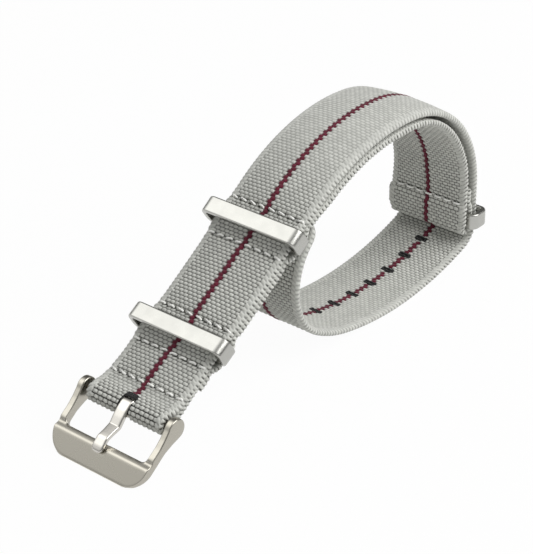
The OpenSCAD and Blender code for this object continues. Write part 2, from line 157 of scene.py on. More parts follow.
@dataclass(frozen=True)
class SeamSizes:
    """Places of the seam rows and keepers along the strap, in millimetres."""

    row_a_at: float = 5.6
    fold_back: float = 9.5
    short_lead: float = 0.3
    lower_keeper_at: float = 17.7
    upper_keeper_at: float = 44.2
    pocket: float = 8.9
    row_f_up: float = 4.2
    end_fold: float = 7.1
    keeper_length: float = 3.7
    keeper_play: float = 0.4
    turn_dip: float = 0.3
    stitches: int = 8
    stitch_length: float = 1.35
    thread: float = 0.4
    row_end: float = 0.75
    holes: int = 7
    hole_pitch: float = 6.35
    first_hole: float = 10.6
    hole_width: float = 2.8
    hole_length: float = 0.6
    hole_room: float = 0.2
    slot_width: float = 3.5
    slot_room: Pair = (0.2, 0.3)
    slot_inner_extra: float = 1.0
    slot_bar: float = 1.2
    stripe_room: float = 0.3
    stripe_end: float = 0.8

    def stitch_starts(self, width: float) -> list[float]:
        """Where the stitches of a row start, across webbing of that width."""
        run = width - 2 * self.row_end
        pitch = (run - self.stitch_length) / (self.stitches - 1)
        return [-run / 2 + i * pitch for i in range(self.stitches)]


@dataclass
class StrapPath:
    """Middle line of the long strap, as straight and bent legs in the X-Z plane.

    Distances are in millimetres from the end of the webbing that is folded back under the buckle.
    """

    webbing: WebbingSizes
    seams: SeamSizes
    bar_x: float
    bar_z: float
    tube_radius: float = 0.8
    run_gap: float = 0.05
    front_rise: float = 28.5
    dip_angle: float = 28.0
    dip_radius: float = 4.0
    tip_gap: float = 1.5
    tip_length: float = 6.0
    shape: tuple[Pair, ...] = (
        (47.0, 6.5),
        (35.5, -42.0),
        (37.0, -83.0),
        (9.3, 0.0),
        (6.2, -72.0),
        (42.5, -32.0),
        (10.0, -18.0),
    )
    rise_turn: float = -102.0
    fold_share: float = 0.8
    legs: list[Pair] = field(default_factory=list)
    states: list[Point] = field(default_factory=list)
    sums: list[float] = field(default_factory=list)

    def __post_init__(self) -> None:
        """Work out where each leg starts, the last leg's length, and the named places."""
        fold = self.tube_radius + self.run_gap + self.webbing.half
        dip = math.radians(self.dip_angle)
        drop = fold * math.cos(dip) + fold - self.webbing.layer_pitch
        run = (drop - self.dip_radius * (1 - math.cos(dip))) / math.sin(dip)
        self.dip_end = (fold + self.dip_radius) * math.sin(dip) + run * math.cos(dip)
        rise = math.radians(self.front_rise)
        back = self.seams.fold_back
        start = (
            back * math.cos(rise) + fold * math.sin(rise),
            back * math.sin(rise) - fold * math.cos(rise),
            rise + math.pi,
        )
        self.legs = [
            (back, 0.0),
            (fold * (math.pi + dip), -(180.0 + self.dip_angle)),
            (run, 0.0),
            (self.dip_radius * dip, self.dip_angle),
            *self.shape,
        ]
        self.states = [start]
        for leg in self.legs:
            self.states.append(self.leg_end(self.states[-1], leg))
        front = self.states[-len(self.shape)]
        normal = (-math.sin(front[2]), math.cos(front[2]))
        unit = self.leg_end(self.states[-1], (1.0, self.rise_turn))
        toe = self.states[-1]
        step = (unit[0] - toe[0]) * normal[0] + (unit[1] - toe[1]) * normal[1]
        gap = (toe[0] - front[0]) * normal[0] + (toe[1] - front[1]) * normal[1]
        drop = self.webbing.layer_pitch + 3 * self.webbing.half + self.tip_gap
        self.legs.append(((-drop - gap) / step, self.rise_turn))
        self.states.append(self.leg_end(toe, self.legs[-1]))
        self.sums = [0.0]
        for length, _ in self.legs:
            self.sums.append(self.sums[-1] + length)
        self.fold_start, self.fold_end, _, self.front_start, self.front_end = self.sums[1:6]
        self.crown_end, self.back_end, self.turn_start, self.turn_end = self.sums[6:10]

    @staticmethod
    def leg_end(state: Point, leg: Pair) -> Point:
        """Follow one leg.

        Args:
            state: X, Z and heading in radians where the leg starts.
            leg: Its length, and its turn in degrees.

        Returns:
            X, Z and heading where it ends.
        """
        half = math.radians(leg[1]) / 2
        chord = leg[0] * (math.sin(half) / half if abs(half) > 1e-9 else 1.0)
        angle = state[2] + half
        return (
            state[0] + chord * math.cos(angle),
            state[1] + chord * math.sin(angle),
            state[2] + 2 * half,
        )

    @property
    def end(self) -> float:
        """Distance at which the bent webbing ends and its tapered tip starts."""
        return self.sums[-1]

    def at(self, s: float) -> Point:
        """X, Z and heading at a distance, in the row frame, in millimetres."""
        i = 0
        while i < len(self.legs) - 1 and s >= self.sums[i + 1]:
            i += 1
        length, turn = self.legs[i]
        if s > self.end:
            x, z, h = self.leg_end(self.states[-1], (s - self.end, 0.0))
        else:
            share = (s - self.sums[i]) / length
            x, z, h = self.leg_end(self.states[i], (length * share, turn * share))
        return (x + self.bar_x, z + self.bar_z, h)

    def inside(self, s: float, depth: float) -> Place:
        """Point at a distance, moved towards the inside of the loop."""
        x, z, h = self.at(s)
        return (x + depth * math.sin(h), z - depth * math.cos(h))

    def front_at(self, distance: float) -> float:
        """Distance along the path of a place on the front run."""
        return self.front_start + distance - self.dip_end

    def front_distance(self, s: float) -> float:
        """How far from the spring bar a place at s lies, along the front run."""
        if s < self.fold_start:
            return self.seams.fold_back - s
        if s < self.front_start:
            return max(0.0, (s - self.fold_end) * self.fold_share)
        return s - self.front_start + self.dip_end


@dataclass
class Places:
    """Distances along the long strap at which things sit, and how the webbing gives there.

    Each ease is where a change starts, from the place it belongs to, and its length.
    """

    path: StrapPath
    crown: float = 0.95
    sink: float = 0.62
    crown_ease: Ease = (2.5, 7.0)
    crown_left: float = 4.0
    keeper_ease: Ease = (2.3, 4.5)
    back_calm: float = 0.66
    back_ease: Ease = (-10.0, 30.0)
    back_end_ease: Ease = (0.0, 15.0)
    tail_calm: float = 0.6
    tail_ease: Ease = (6.0, 34.0)
    pull: float = 0.5
    pull_ease: Ease = (1.2, 1.5)
    pull_end_ease: Ease = (-0.6, 1.2)
    fold_open: float = 0.15
    fold_open_half: float = 6.0
    tail_open: float = 0.75
    tail_open_ease: Ease = (-8.0, 14.0)
    turn_stretch: float = 0.6
    fold_ease: Ease = (-1.0, 1.5)
    fold_end_ease: Ease = (-2.2, 2.0)
    short_depth: float = 1.1
    bar_bulge: float = 0.045
    bulge_ease: Ease = (-2.0, 3.5)
    bulge_end_ease: Ease = (-0.3, 1.2)
    sewn_reach: float = 2.0
    inner_ease: Ease = (-6.0, 26.0)
    inner_end_ease: Ease = (0.5, 7.0)
    inner_sink: float = 0.3

    def __post_init__(self) -> None:
        """Derive the places from the seam sizes."""
        p, m = self.path, self.path.seams
        self.row_a = p.front_at(m.row_a_at)
        self.lower = p.front_at(m.lower_keeper_at)
        self.upper = p.front_at(m.upper_keeper_at)
        self.row_b, self.row_c = self.lower - m.pocket / 2, self.lower + m.pocket / 2
        self.row_d, self.row_e = self.upper - m.pocket / 2, self.upper + m.pocket / 2
        self.turn = p.turn_start
        self.end_keeper = self.turn - m.keeper_length / 2 + m.turn_dip
        self.row_f = self.end_keeper - m.row_f_up
        self.end_fold = self.end_keeper - m.end_fold
        self.short_start = p.front_at(m.fold_back + m.short_lead)
        self.holes = [self.end_keeper + m.first_hole + i * m.hole_pitch for i in range(m.holes)]
        self.slot = (p.fold_start - m.slot_room[0], p.fold_end + m.slot_room[1])

    def relief(self, s: float) -> float:
        """How deep the weave stands out: most where the strap bends, least on the flat tail."""
        p = self.path
        back = ramp(s - p.front_end, self.back_ease) * ramp(self.turn - s, self.back_end_ease)
        tail = ramp(s - self.turn, self.tail_ease)
        pulled = ramp(s - p.fold_end, self.pull_ease) * ramp(self.row_a - s, self.pull_end_ease)
        calm = self.back_calm * back + self.tail_calm * tail + self.pull * pulled
        return 1.0 + self.fold_open * bell(s - p.fold_end, self.fold_open_half) - calm

    def tail_relief(self, s: float) -> float:
        """How much deeper the weave lies on the outer face of the tail, past the turn."""
        return self.tail_open * ramp(s - self.path.turn_end, self.tail_open_ease)

    def short_relief(self, _: float) -> float:
        """How deep the weave of the short strap stands out, which is never pulled flat."""
        return self.short_depth

    def stretch(self, s: float, region: Region) -> float:
        """How far a tight bend opens the gaps between the rows, from 0 to 1."""
        if region is Region.TURN:
            return self.turn_stretch
        p = self.path
        return ramp(s - p.fold_start, self.fold_ease) * ramp(p.fold_end - s, self.fold_end_ease)

    def near_keeper(self, s: float) -> float:
        """1 under the two sewn keepers, 0 away from them."""
        d, m = self.path.front_distance(s), self.path.seams
        return max(
            1.0 - ramp(abs(d - place), self.keeper_ease)
            for place in (m.lower_keeper_at, m.upper_keeper_at)
        )

    def main_camber(self, s: float) -> Pair:
        """How far the long strap's middle stands above its edges, and how far its edges sink."""
        p = self.path
        if s < p.crown_end:
            high = ramp(p.front_distance(s), self.crown_ease) * (1.0 - self.near_keeper(s))
        else:
            high = 1.0 - ramp(s - p.crown_end, (0.0, p.back_end - p.crown_end - self.crown_left))
        return (self.crown * high, self.crown * high * self.sink)

    def short_bulge(self, s: float) -> float:
        """How much wider the short strap is pressed over the end keeper's inner bar."""
        start = ramp(s - self.row_f, self.bulge_ease)
        return self.bar_bulge * start * ramp(self.turn - s, self.bulge_end_ease)

    def short_camber(self, s: float) -> Pair:
        """The same for the short strap, which bulges towards the wrist behind the crown."""
        if s < self.row_e + self.sewn_reach:
            return self.main_camber(s)
        over = ramp(s - self.path.crown_end, self.inner_ease)
        back = ramp(self.row_f - s, self.inner_end_ease)
        rise = self.crown * (1 - over) - self.crown * over * back
        return (rise, rise * self.sink * (1 - over) + rise * self.inner_sink * over)


@dataclass
class Course:
    """A strap's middle line by its own length, with the matching place on the long strap."""

    points: list[Place]
    marks: list[float]
    regions: list[Region]
    lengths: list[float] = field(default_factory=list)

    def __post_init__(self) -> None:
        """Measure the line."""
        self.lengths = [0.0]
        for a, b in zip(self.points, self.points[1:]):
            self.lengths.append(self.lengths[-1] + math.dist(a, b))
        self.cursor = 0

    @property
    def length(self) -> float:
        """Length of the whole line."""
        return self.lengths[-1]

    def at(self, u: float) -> tuple[float, float, float, float, float, Region]:
        """X, Z, the unit direction, the place on the long strap, and the region."""
        i = self.cursor if self.lengths[self.cursor] <= u else 0
        last = len(self.points) - 2
        while i < last and self.lengths[i + 1] < u:
            i += 1
        self.cursor = i
        span = self.lengths[i + 1] - self.lengths[i]
        f = (u - self.lengths[i]) / span
        a, b = self.points[i], self.points[i + 1]
        before, after = self.points[max(0, i - 1)], self.points[min(last + 1, i + 2)]
        d0 = (b[0] - before[0], b[1] - before[1])
        d1 = (after[0] - a[0], after[1] - a[1])
        dx, dz = d0[0] * (1 - f) + d1[0] * f, d0[1] * (1 - f) + d1[1] * f
        size = math.hypot(dx, dz)
        x, z = a[0] + (b[0] - a[0]) * f, a[1] + (b[1] - a[1]) * f
        s = self.marks[i] + (self.marks[i + 1] - self.marks[i]) * f
        return (x, z, dx / size, dz / size, s, self.regions[i])

    def length_at_mark(self, s: float) -> float:
        """Own length at which a place on the long strap is first passed."""
        for i, mark in enumerate(self.marks):
            if mark >= s:
                return self.lengths[i]
        return self.length


@dataclass
class ShortStrapShape:
    """How far the short strap lies inside the long one."""

    path: StrapPath
    places: Places
    bar_gap: float = 0.15
    slip_gap: float = 0.1
    keeper_thickness: float = 1.1
    crown_gap: float = 1.0
    back_gap: float = 1.9
    back_swell: float = 0.2
    back_start: float = 8.01
    swell_lead: float = 3.0
    seam_half: float = 0.35
    seam_pinch: float = 0.6
    keeper_room: float = 0.1
    run_steps: int = 560
    turn_steps: int = 24
    fold_steps: int = 40

    def __post_init__(self) -> None:
        """Derive the offsets and the knots between which they are eased."""
        w, p, m = self.path.webbing, self.places, self.path.seams
        step = self.keeper_thickness + 2 * self.bar_gap
        low = m.keeper_length / 2 + self.keeper_room
        high = low + m.keeper_play
        sewn, pocket = w.layer_pitch, w.thickness + step
        self.fold = w.thickness + self.slip_gap
        self.end = self.fold + w.thickness + step
        self.turn_offset = (self.fold + self.end) / 2
        self.turn_radius = step / 2 + w.half
        self.row_f = self.end - self.seam_pinch
        top, back = w.thickness + self.crown_gap, w.thickness + self.back_gap
        self.knots = [
            (p.short_start, sewn),
            (p.row_b + self.seam_half, sewn),
            (p.lower - low, pocket),
            (p.lower + high, pocket),
            (p.row_c - self.seam_half, sewn),
            (p.row_d + self.seam_half, sewn),
            (p.upper - low, pocket),
            (p.upper + high, pocket),
            (p.row_e - self.seam_half, sewn),
            (p.row_e + self.seam_half, sewn),
            (p.row_e + m.pocket, top),
            (self.path.crown_end, top),
            (self.path.back_end - self.back_start, back),
            (p.end_fold - self.swell_lead, back + self.back_swell),
            (p.row_f, self.row_f),
            (p.end_keeper - high, self.end),
            (p.turn, self.end),
        ]
        self.fold_knots = [(p.row_f, self.row_f - sewn), (p.end_keeper - high, self.fold)]

    @staticmethod
    def eased(s: float, knots: Sequence[Place]) -> float:
        """Value at s of a line eased between knots."""
        if s <= knots[0][0]:
            return knots[0][1]
        for (s0, v0), (s1, v1) in zip(knots, knots[1:]):
            if s < s1:
                return v0 + (v1 - v0) * smooth((s - s0) / (s1 - s0))
        return knots[-1][1]

    def offset(self, s: float) -> float:
        """Offset of the layer that faces the wrist."""
        return self.eased(s, self.knots)

    def fold_offset(self, s: float) -> float:
        """Offset of the folded end, which faces the long strap."""
        if s < self.places.row_f:
            return self.offset(s) - self.path.webbing.layer_pitch
        return self.eased(s, self.fold_knots)

    def course(self) -> Course:
        """The short strap's middle line, round the end keeper and back up."""
        p, path = self.places, self.path
        spots: list[tuple[Place, float, Region]] = []
        for i in range(self.run_steps):
            s = p.short_start + (p.turn - p.short_start) * i / self.run_steps
            spots.append((path.inside(s, self.offset(s)), s, Region.RUN))
        x, z, h = path.at(p.turn)
        for i in range(self.turn_steps + 1):
            a = math.pi * i / self.turn_steps
            along = self.turn_radius * math.sin(a)
            off = self.turn_offset + self.turn_radius * math.cos(a)
            ahead = x + along * math.cos(h) + off * math.sin(h)
            spots.append(((ahead, z + along * math.sin(h) - off * math.cos(h)), p.turn, Region.TURN))
        for i in range(1, self.fold_steps + 1):
            s = p.turn - (p.turn - p.end_fold) * i / self.fold_steps
            spots.append((path.inside(s, self.fold_offset(s)), s, Region.FOLD))
        points, marks, regions = (list(part) for part in zip(*spots))
        return Course(points, marks, regions)


@dataclass(frozen=True)
class Finish:
    """A procedural material: its colour, how it scatters light, and its fine structure."""

    name: str
    color: Color
    roughness: float
    metallic: float = 0.0
    sheen: float = 0.0
    sheen_roughness: float = 0.5
    specular: float = 0.5

    def start(self) -> tuple[bpy.types.Material, bpy.types.NodeTree, bpy.types.Node]:
        """A new material with its constant values set on the shader."""
        material = bpy.data.materials.new(self.name)
        material.use_nodes = True
        tree = material.node_tree
        shader = tree.nodes["Principled BSDF"]
        shader.inputs["Base Color"].default_value = (*self.color, 1.0)
        shader.inputs["Roughness"].default_value = self.roughness
        shader.inputs["Metallic"].default_value = self.metallic
        shader.inputs["Specular IOR Level"].default_value = self.specular
        if self.sheen:
            shader.inputs["Sheen Weight"].default_value = self.sheen
            shader.inputs["Sheen Roughness"].default_value = self.sheen_roughness
        return material, tree, shader


def link(tree: bpy.types.NodeTree, source: bpy.types.NodeSocket, target: bpy.types.NodeSocket) -> None:
    """Join two sockets."""
    tree.links.new(source, target)


def node(tree: bpy.types.NodeTree, kind: str, **values: object) -> bpy.types.Node:
    """Add a node and set its properties and inputs.

    Args:
        tree: The node tree.
        kind: The node's type name.
        **values: Properties or inputs by name.

    Returns:
        The new node.
    """
    made = tree.nodes.new(kind)
    for key, value in values.items():
        if hasattr(made, key):
            setattr(made, key, value)
        else:
            made.inputs[key].default_value = value
    return made


def computed(
    tree: bpy.types.NodeTree, operation: str, *terms: bpy.types.NodeSocket | float
) -> bpy.types.NodeSocket:
    """Work out a sum, product or the like of sockets and numbers.

    Args:
        tree: The node tree.
        operation: What the Math node does.
        *terms: Its inputs in order.

    Returns:
        The result's socket.
    """
    made = node(tree, "ShaderNodeMath", operation=operation)
    for socket, term in zip(made.inputs, terms):
        if isinstance(term, float):
            socket.default_value = term
        else:
            link(tree, term, socket)
    return made.outputs["Value"]


def add_grain(
    tree: bpy.types.NodeTree,
    shader: bpy.types.Node,
    place: bpy.types.NodeSocket,
    scale: Point,
    detail: float,
    strength: float,
    height: float,
) -> None:
    """Give a finish a fine drawn-out grain that stands up a little.

    Args:
        tree: The material's node tree.
        shader: Its shader.
        place: The socket that gives the coordinates.
        scale: How fine the grain is along each coordinate.
        detail: How much finer structure it has.
        strength: How much of the height shows.
        height: The grain's height in millimetres.
    """
    stretch = node(tree, "ShaderNodeMapping", Scale=scale)
    link(tree, place, stretch.inputs["Vector"])
    grain = node(tree, "ShaderNodeTexNoise", Scale=1.0, Detail=detail)
    link(tree, stretch.outputs["Vector"], grain.inputs["Vector"])
    bump = node(tree, "ShaderNodeBump", Strength=strength, Distance=height * MM)
    link(tree, grain.outputs["Fac"], bump.inputs["Height"])
    link(tree, bump.outputs["Normal"], shader.inputs["Normal"])


@dataclass(frozen=True)
class YarnFinish(Finish):
    """Woven or sewn yarn: darker in its valleys by painted shade, uneven from knuckle to knuckle, with
    fine fibres.
    """

    painted_valley_shade: Color = (0.1, 0.1, 0.09)
    painted_shade_at: float = 0.22
    painted_shade_top: float = 0.6
    painted_shade_floor: float = 0.12
    fibre_grain: Pair = (3.0, 11.0)
    fibre_scale: float = 1.0
    fibre_detail: float = 3.0
    fibre_bump: float = 0.3
    fibre_height: float = 0.06
    uneven: float = 0.14
    weave: WebbingSizes = WebbingSizes()

    def tints(self, tree: bpy.types.NodeTree, uv: bpy.types.Node) -> bpy.types.NodeSocket:
        """A slightly different lightness for each knuckle.

        Args:
            tree: The material's node tree.
            uv: The node that gives the weave's coordinates.

        Returns:
            The socket that carries the tint.
        """
        values = {
            "Color1": (1.0, 1.0, 1.0, 1.0),
            "Color2": (1.0 - self.uneven,) * 3 + (1.0,),
            "Scale": 1.0,
            "Mortar Size": 0.0,
            "Brick Width": self.weave.knuckle_pitch,
            "Row Height": self.weave.row_pitch,
        }
        bricks = node(tree, "ShaderNodeTexBrick", offset=0.5, offset_frequency=2, **values)
        link(tree, uv.outputs["UV"], bricks.inputs["Vector"])
        return bricks.outputs["Color"]

    def build(self) -> bpy.types.Material:
        """Make the material. It reads the piece's "weave" UV map and its "height" attribute, which sets
        the painted shade.
        """
        material, tree, shader = self.start()
        uv = node(tree, "ShaderNodeUVMap", uv_map="weave")
        height = node(tree, "ShaderNodeAttribute", attribute_name="height")
        # Painted shade: a ramp from the dark valley colour to the full colour, by the weave's height.
        painted_shade_ramp = node(tree, "ShaderNodeValToRGB")
        stops = painted_shade_ramp.color_ramp.elements
        stops[0].color = (*(self.painted_shade_floor * v for v in self.painted_valley_shade), 1.0)
        stops[1].color = (*self.color, 1.0)
        stops[1].position = self.painted_shade_top
        stops.new(self.painted_shade_at).color = (*self.painted_valley_shade, 1.0)
        link(tree, height.outputs["Fac"], painted_shade_ramp.inputs["Fac"])
        mixed = node(tree, "ShaderNodeVectorMath", operation="MULTIPLY")
        link(tree, painted_shade_ramp.outputs["Color"], mixed.inputs[0])
        link(tree, self.tints(tree, uv), mixed.inputs[1])
        link(tree, mixed.outputs[0], shader.inputs["Base Color"])
        grain = (*(v * self.fibre_scale for v in self.fibre_grain), 1.0)
        add_grain(
            tree, shader, uv.outputs["UV"], grain, self.fibre_detail, self.fibre_bump, self.fibre_height
        )
        return material


@dataclass(frozen=True)
class SteelFinish(Finish):
    """Satin or polished steel with a fine grain and a few faint marks."""

    grain: float = 0.08
    grain_scale: Point = (9000.0, 450.0, 9000.0)
    grain_height: float = 0.02
    grain_detail: float = 4.0
    wear_scale: float = 420.0
    wear_detail: float = 3.0
    wear_range: Pair = (0.3, 0.7)
    rough_spread: float = 0.08

    def build(self) -> bpy.types.Material:
        """Make the material, on Object coordinates."""
        material, tree, shader = self.start()
        place = node(tree, "ShaderNodeTexCoord").outputs["Object"]
        wear = node(tree, "ShaderNodeTexNoise", Scale=self.wear_scale, Detail=self.wear_detail)
        link(tree, place, wear.inputs["Vector"])
        values = {
            "From Min": self.wear_range[0],
            "From Max": self.wear_range[1],
            "To Min": self.roughness - self.rough_spread / 2,
            "To Max": self.roughness + self.rough_spread / 2,
        }
        spread = node(tree, "ShaderNodeMapRange", **values)
        link(tree, wear.outputs["Fac"], spread.inputs["Value"])
        link(tree, spread.outputs["Result"], shader.inputs["Roughness"])
        detail, height = self.grain_detail, self.grain_height
        add_grain(tree, shader, place, self.grain_scale, detail, self.grain, height)
        return material


class Finishes:
    """All finishes of the strap, each built once."""

    def __init__(self) -> None:
        """Build the materials."""
        yarn = {"sheen": 0.2, "specular": 0.25}
        self.webbing = YarnFinish(
            "grey_webbing",
            (0.66, 0.665, 0.625),
            0.82,
            painted_valley_shade=(0.06, 0.06, 0.05),
            painted_shade_top=0.72,
            **yarn,
        ).build()
        self.stripe = YarnFinish(
            "wine_stripe",
            (0.135, 0.009, 0.028),
            0.7,
            painted_valley_shade=(0.04, 0.002, 0.01),
            painted_shade_top=0.85,
            uneven=0.3,
            **yarn,
        ).build()
        # The yarn round the openings is coloured near-black, painted shade of the openings' shaded
        # insides.
        self.opening_shade_yarn = YarnFinish(
            "opening_shade_edging", (0.02, 0.02, 0.02), 0.8, painted_valley_shade=(0.004, 0.004, 0.004), **yarn
        ).build()
        self.thread = YarnFinish(
            "sewing_thread",
            (0.93, 0.93, 0.9),
            0.35,
            painted_valley_shade=(0.35, 0.35, 0.32),
            fibre_scale=2.0,
            uneven=0.0,
            **yarn,
        ).build()
        self.keeper = SteelFinish("satin_keeper_steel", (0.468, 0.466, 0.44), 0.28, 1.0).build()
        self.buckle = SteelFinish("satin_buckle_steel", (0.455, 0.434, 0.38), 0.28, 1.0).build()
        self.tongue = SteelFinish(
            "polished_tongue_steel", (0.6, 0.58, 0.54), 0.2, 1.0, rough_spread=0.05
        ).build()
        self.bar = SteelFinish("spring_bar_steel", (0.5, 0.48, 0.45), 0.3, 1.0).build()


def finished(
    bm: bmesh.types.BMesh, name: str, material: bpy.types.Material, body: str
) -> bpy.types.Object:
    """Turn a bmesh in metres into a smooth piece that rides on a body.

    Args:
        bm: The shape, which is freed.
        name: The piece's name.
        material: Its finish.
        body: The body it moves with.

    Returns:
        The piece's object, at the origin.
    """
    for face in bm.faces:
        face.smooth = True
    mesh = bpy.data.meshes.new(name)
    bm.to_mesh(mesh)
    bm.free()
    mesh.materials.append(material)
    piece = bpy.data.objects.new(name, mesh)
    bpy.context.collection.objects.link(piece)
    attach(piece, body)
    LOG.info("%s: %d faces", name, len(mesh.polygons))
    return piece


def yarn_shape() -> tuple[bmesh.types.BMesh, bmesh.types.BMLayerItem, bmesh.types.BMLayerItem]:
    """An empty shape, with the weave's coordinates and its height, from which the finish paints shade.
    """
    bm = bmesh.new()
    return bm, bm.loops.layers.uv.new("weave"), bm.verts.layers.float.new("height")


def lay_weave(
    bm: bmesh.types.BMesh, layer: bmesh.types.BMLayerItem, at: dict[bmesh.types.BMVert, Place]
) -> None:
    """Give every corner of a face the coordinates of its vertex in the weave.

    Args:
        bm: The shape.
        layer: Its layer of coordinates.
        at: The coordinates by vertex.
    """
    for face in bm.faces:
        for loop in face.loops:
            loop[layer].uv = at[loop.vert]


@dataclass(frozen=True)
class Column:
    """One column of points round the webbing's cross-section, in millimetres."""

    y: float
    lift: float
    out_y: float
    out_lift: float
    turn: float
    selvedge: bool


@dataclass(frozen=True)
class Station:
    """The webbing's middle at one length: its place, direction, camber and how deep its weave is."""

    x: float
    z: float
    dx: float
    dz: float
    crown: float
    sink: float
    half_width: float
    share: float
    relief: float
    open_outside: float
    stretch: float

    def point(self, y: float, lift: float) -> Vector:
        """Point at a distance across and a height above the middle, in metres."""
        eta = y / self.half_width
        rise = lift + self.crown * (1 - eta * eta) - self.sink
        return Vector((self.x - self.dz * rise, y * self.share, self.z + self.dx * rise)) * MM


@dataclass(frozen=True)
class Opening:
    """An opening through the webbing, longer on its inner face if need be."""

    u0: float
    u1: float
    half_width: float
    inner_extra: float = 0.0

    def holds(self, u: float, y: float, inner: bool) -> bool:
        """Whether a place lies in it."""
        top = self.u1 + (self.inner_extra if inner else 0.0)
        return self.u0 < u < top and abs(y) < self.half_width


@dataclass
class WovenBand:
    """Builds a length of woven webbing with raised knuckles and rolled selvedges."""

    sizes: WebbingSizes
    course: Course
    places: Places
    camber: Callable[[float], Pair]
    seams: Sequence[float] = ()
    tip_length: float = 0.0
    stripe_sides: tuple[Side, ...] = (Side.OUTER, Side.INNER)
    bulge: Callable[[float], float] = lambda s: 0.0
    relief: Callable[[float], float] = lambda s: 1.0
    open_outside: Callable[[float], float] = lambda s: 0.0
    stripe_half: float = 0.62
    stripe_swing: float = 0.5
    form: WeaveForm = WeaveForm()

    def __post_init__(self) -> None:
        """Fit a whole number of rows to the band's length."""
        self.rows = round(self.course.length / self.sizes.row_pitch)
        self.pitch = self.course.length / self.rows
        self.cross_section = self.columns()
        self.striped = {side.value for side in self.stripe_sides}

    def columns(self) -> list[Column]:
        """The cross-section: outer face, selvedge, inner face, selvedge."""
        w = self.sizes
        roll = w.width / 2 - w.half
        cell = w.knuckle_pitch / 2
        cells = int((w.width / 2 - w.selvedge) / cell)
        woven = [(k + 0.5) * cell + d for k in range(-cells, cells) for d in (-w.groove, 0.0, w.groove)]
        woven_half = woven[-1] + w.groove
        edge = [woven_half + (roll - woven_half) * k / 3 for k in range(4)]
        across = [-y for y in reversed(edge)] + woven + edge
        out: list[Column] = []
        for face in (1, -1):
            for y in across[:-1]:
                rolled = abs(y) > woven_half - w.groove / 2
                out.append(Column(face * y, face * w.half, 0.0, face, 0.0, rolled))
            for i in range(w.selvedge_steps):
                turn = i / w.selvedge_steps
                a = math.pi * (0.5 - turn)
                y, lift = math.cos(a) * face, math.sin(a) * face
                out.append(Column(face * roll + w.half * y, w.half * lift, y, lift, turn, True))
        return out

    def row_middle(self, row: int) -> float:
        """Where the middle knuckle of a row lies across the webbing; rows are laid like bricks."""
        return self.sizes.knuckle_pitch / 4 * (1 if row % 2 == 0 else -1)

    def knuckle(self, row: int, share: float, y: float, stretch: float) -> float:
        """Height of the weave, from 0 in a gap to 1 on a knuckle.

        Args:
            row: The row.
            share: How far through the row.
            y: Distance from the strap's middle.
            stretch: How far the webbing's bend opens the gaps between its rows, from 0 to 1.

        Returns:
            The height.
        """
        f = self.form
        across = ((y - self.row_middle(row)) / self.sizes.knuckle_pitch + 0.5) % 1.0
        floor = f.gap_floor * (1.0 - stretch)
        least = f.bead_floor + f.bent_floor * stretch
        bead = least + (1.0 - least) * self.hump(across, f.bead_square)
        return floor + (1.0 - floor) * bead * self.hump(share, f.row_square)

    def hump(self, share: float, square: float) -> float:
        """Height of a rounded bump at a share of its length, 0 at both ends."""
        if not 1e-3 < share < 0.999:
            return 0.0
        return (1.0 - abs(2.0 * share - 1.0) ** square) ** self.form.roundness

    def rib(self, u: float, col: Column) -> float:
        """Height of the selvedge's slanting ribs."""
        w, f = self.sizes, self.form
        slant = (abs(col.y) - w.width / 2 + w.selvedge) * f.rib_slant + col.turn * f.rib_twist
        phase = (u + slant) / (f.rib_rows * self.pitch) % 1.0
        return math.sin(math.pi * phase) ** f.rib_sharpness

    def press(self, u: float) -> float:
        """How deep the seam rows press the webbing's faces at a length."""
        w = self.sizes
        return sum(w.seam_press * bell(mark - u, w.seam_press_half) for mark in self.seams)

    def station(self, u: float) -> Station:
        """The webbing's middle at a length along its course."""
        x, z, dx, dz, s, region = self.course.at(u)
        crown, sink = self.camber(s)
        if region is Region.TURN:
            crown = sink = 0.0
        if region is Region.FOLD:
            crown, sink = -crown, -sink
        half = self.sizes.width / 2
        stretch = self.places.stretch(s, region)
        share = self.taper(u) + (self.bulge(s) if region is Region.RUN else 0.0)
        outside = self.open_outside(s)
        return Station(x, z, dx, dz, crown, sink, half, share, self.relief(s), outside, stretch)

    def place(self, u: float, y: float, lift: float) -> Vector:
        """Point of the bent webbing, in metres.

        Args:
            u: Length along the course.
            y: Distance from the strap's middle.
            lift: Height above the middle of the webbing, outwards.

        Returns:
            The point in the row frame.
        """
        return self.station(min(max(u, 0.0), self.course.length)).point(y, lift)

    def taper(self, u: float) -> float:
        """Half width at a place as a share of the full half width."""
        left = self.course.length - u
        if left >= self.tip_length or self.tip_length == 0.0:
            return 1.0
        f = 1 - max(0.0, left) / self.tip_length
        return 1.0 - self.form.tip_narrowing * f**self.form.tip_square

    def surface(
        self, row: int, share: float, u: float, col: Column, here: Station, pits: Sequence[Place]
    ) -> Place:
        """Depth below the webbing's smooth face, and height in the weave, at one point.

        Args:
            row: The row of the weave.
            share: How far through the row.
            u: Length along the course.
            col: The column of the cross-section.
            here: The station.
            pits: Needle holes near the station.

        Returns:
            Depth in millimetres, and height from 0 to 1, which sets the painted shade.
        """
        w, f = self.sizes, self.form
        relief = here.relief + (here.open_outside if col.out_lift > 0 and not col.selvedge else 0.0)
        # Painted shade on the selvedge: its height, and so its colour, drops in the slits between the
        # ribs, most on the side of the roll.
        if col.selvedge:
            side = f.rib_least + (1.0 - f.rib_least) * math.sin(math.pi * col.turn)
            high = 1.0 - side * (1.0 - self.rib(u, col))
        else:
            high = self.knuckle(row, share, col.y, here.stretch)
        depth = w.knuckle_depth * relief * (1.0 + f.bent_depth * here.stretch) * (1.0 - high)
        # Where the weave stands out less, its painted shade is weaker.
        high = f.middle_shade + (high - f.middle_shade) * min(1.0, relief)
        if not col.selvedge and col.out_lift in self.striped:
            if abs(col.y - self.row_middle(row)) < w.knuckle_pitch * f.stripe_reach:
                depth += w.stripe_sink
        depth += self.press(u)
        if pits and not col.selvedge:
            long, wide = w.needle_half
            dent = max(bell(mark - u, long) * bell(y - col.y, wide) for mark, y in pits)
            depth += w.needle_depth * dent
            # Painted shade darkens the needle holes.
            high *= 1.0 - f.needle_shade * dent
        return depth, high

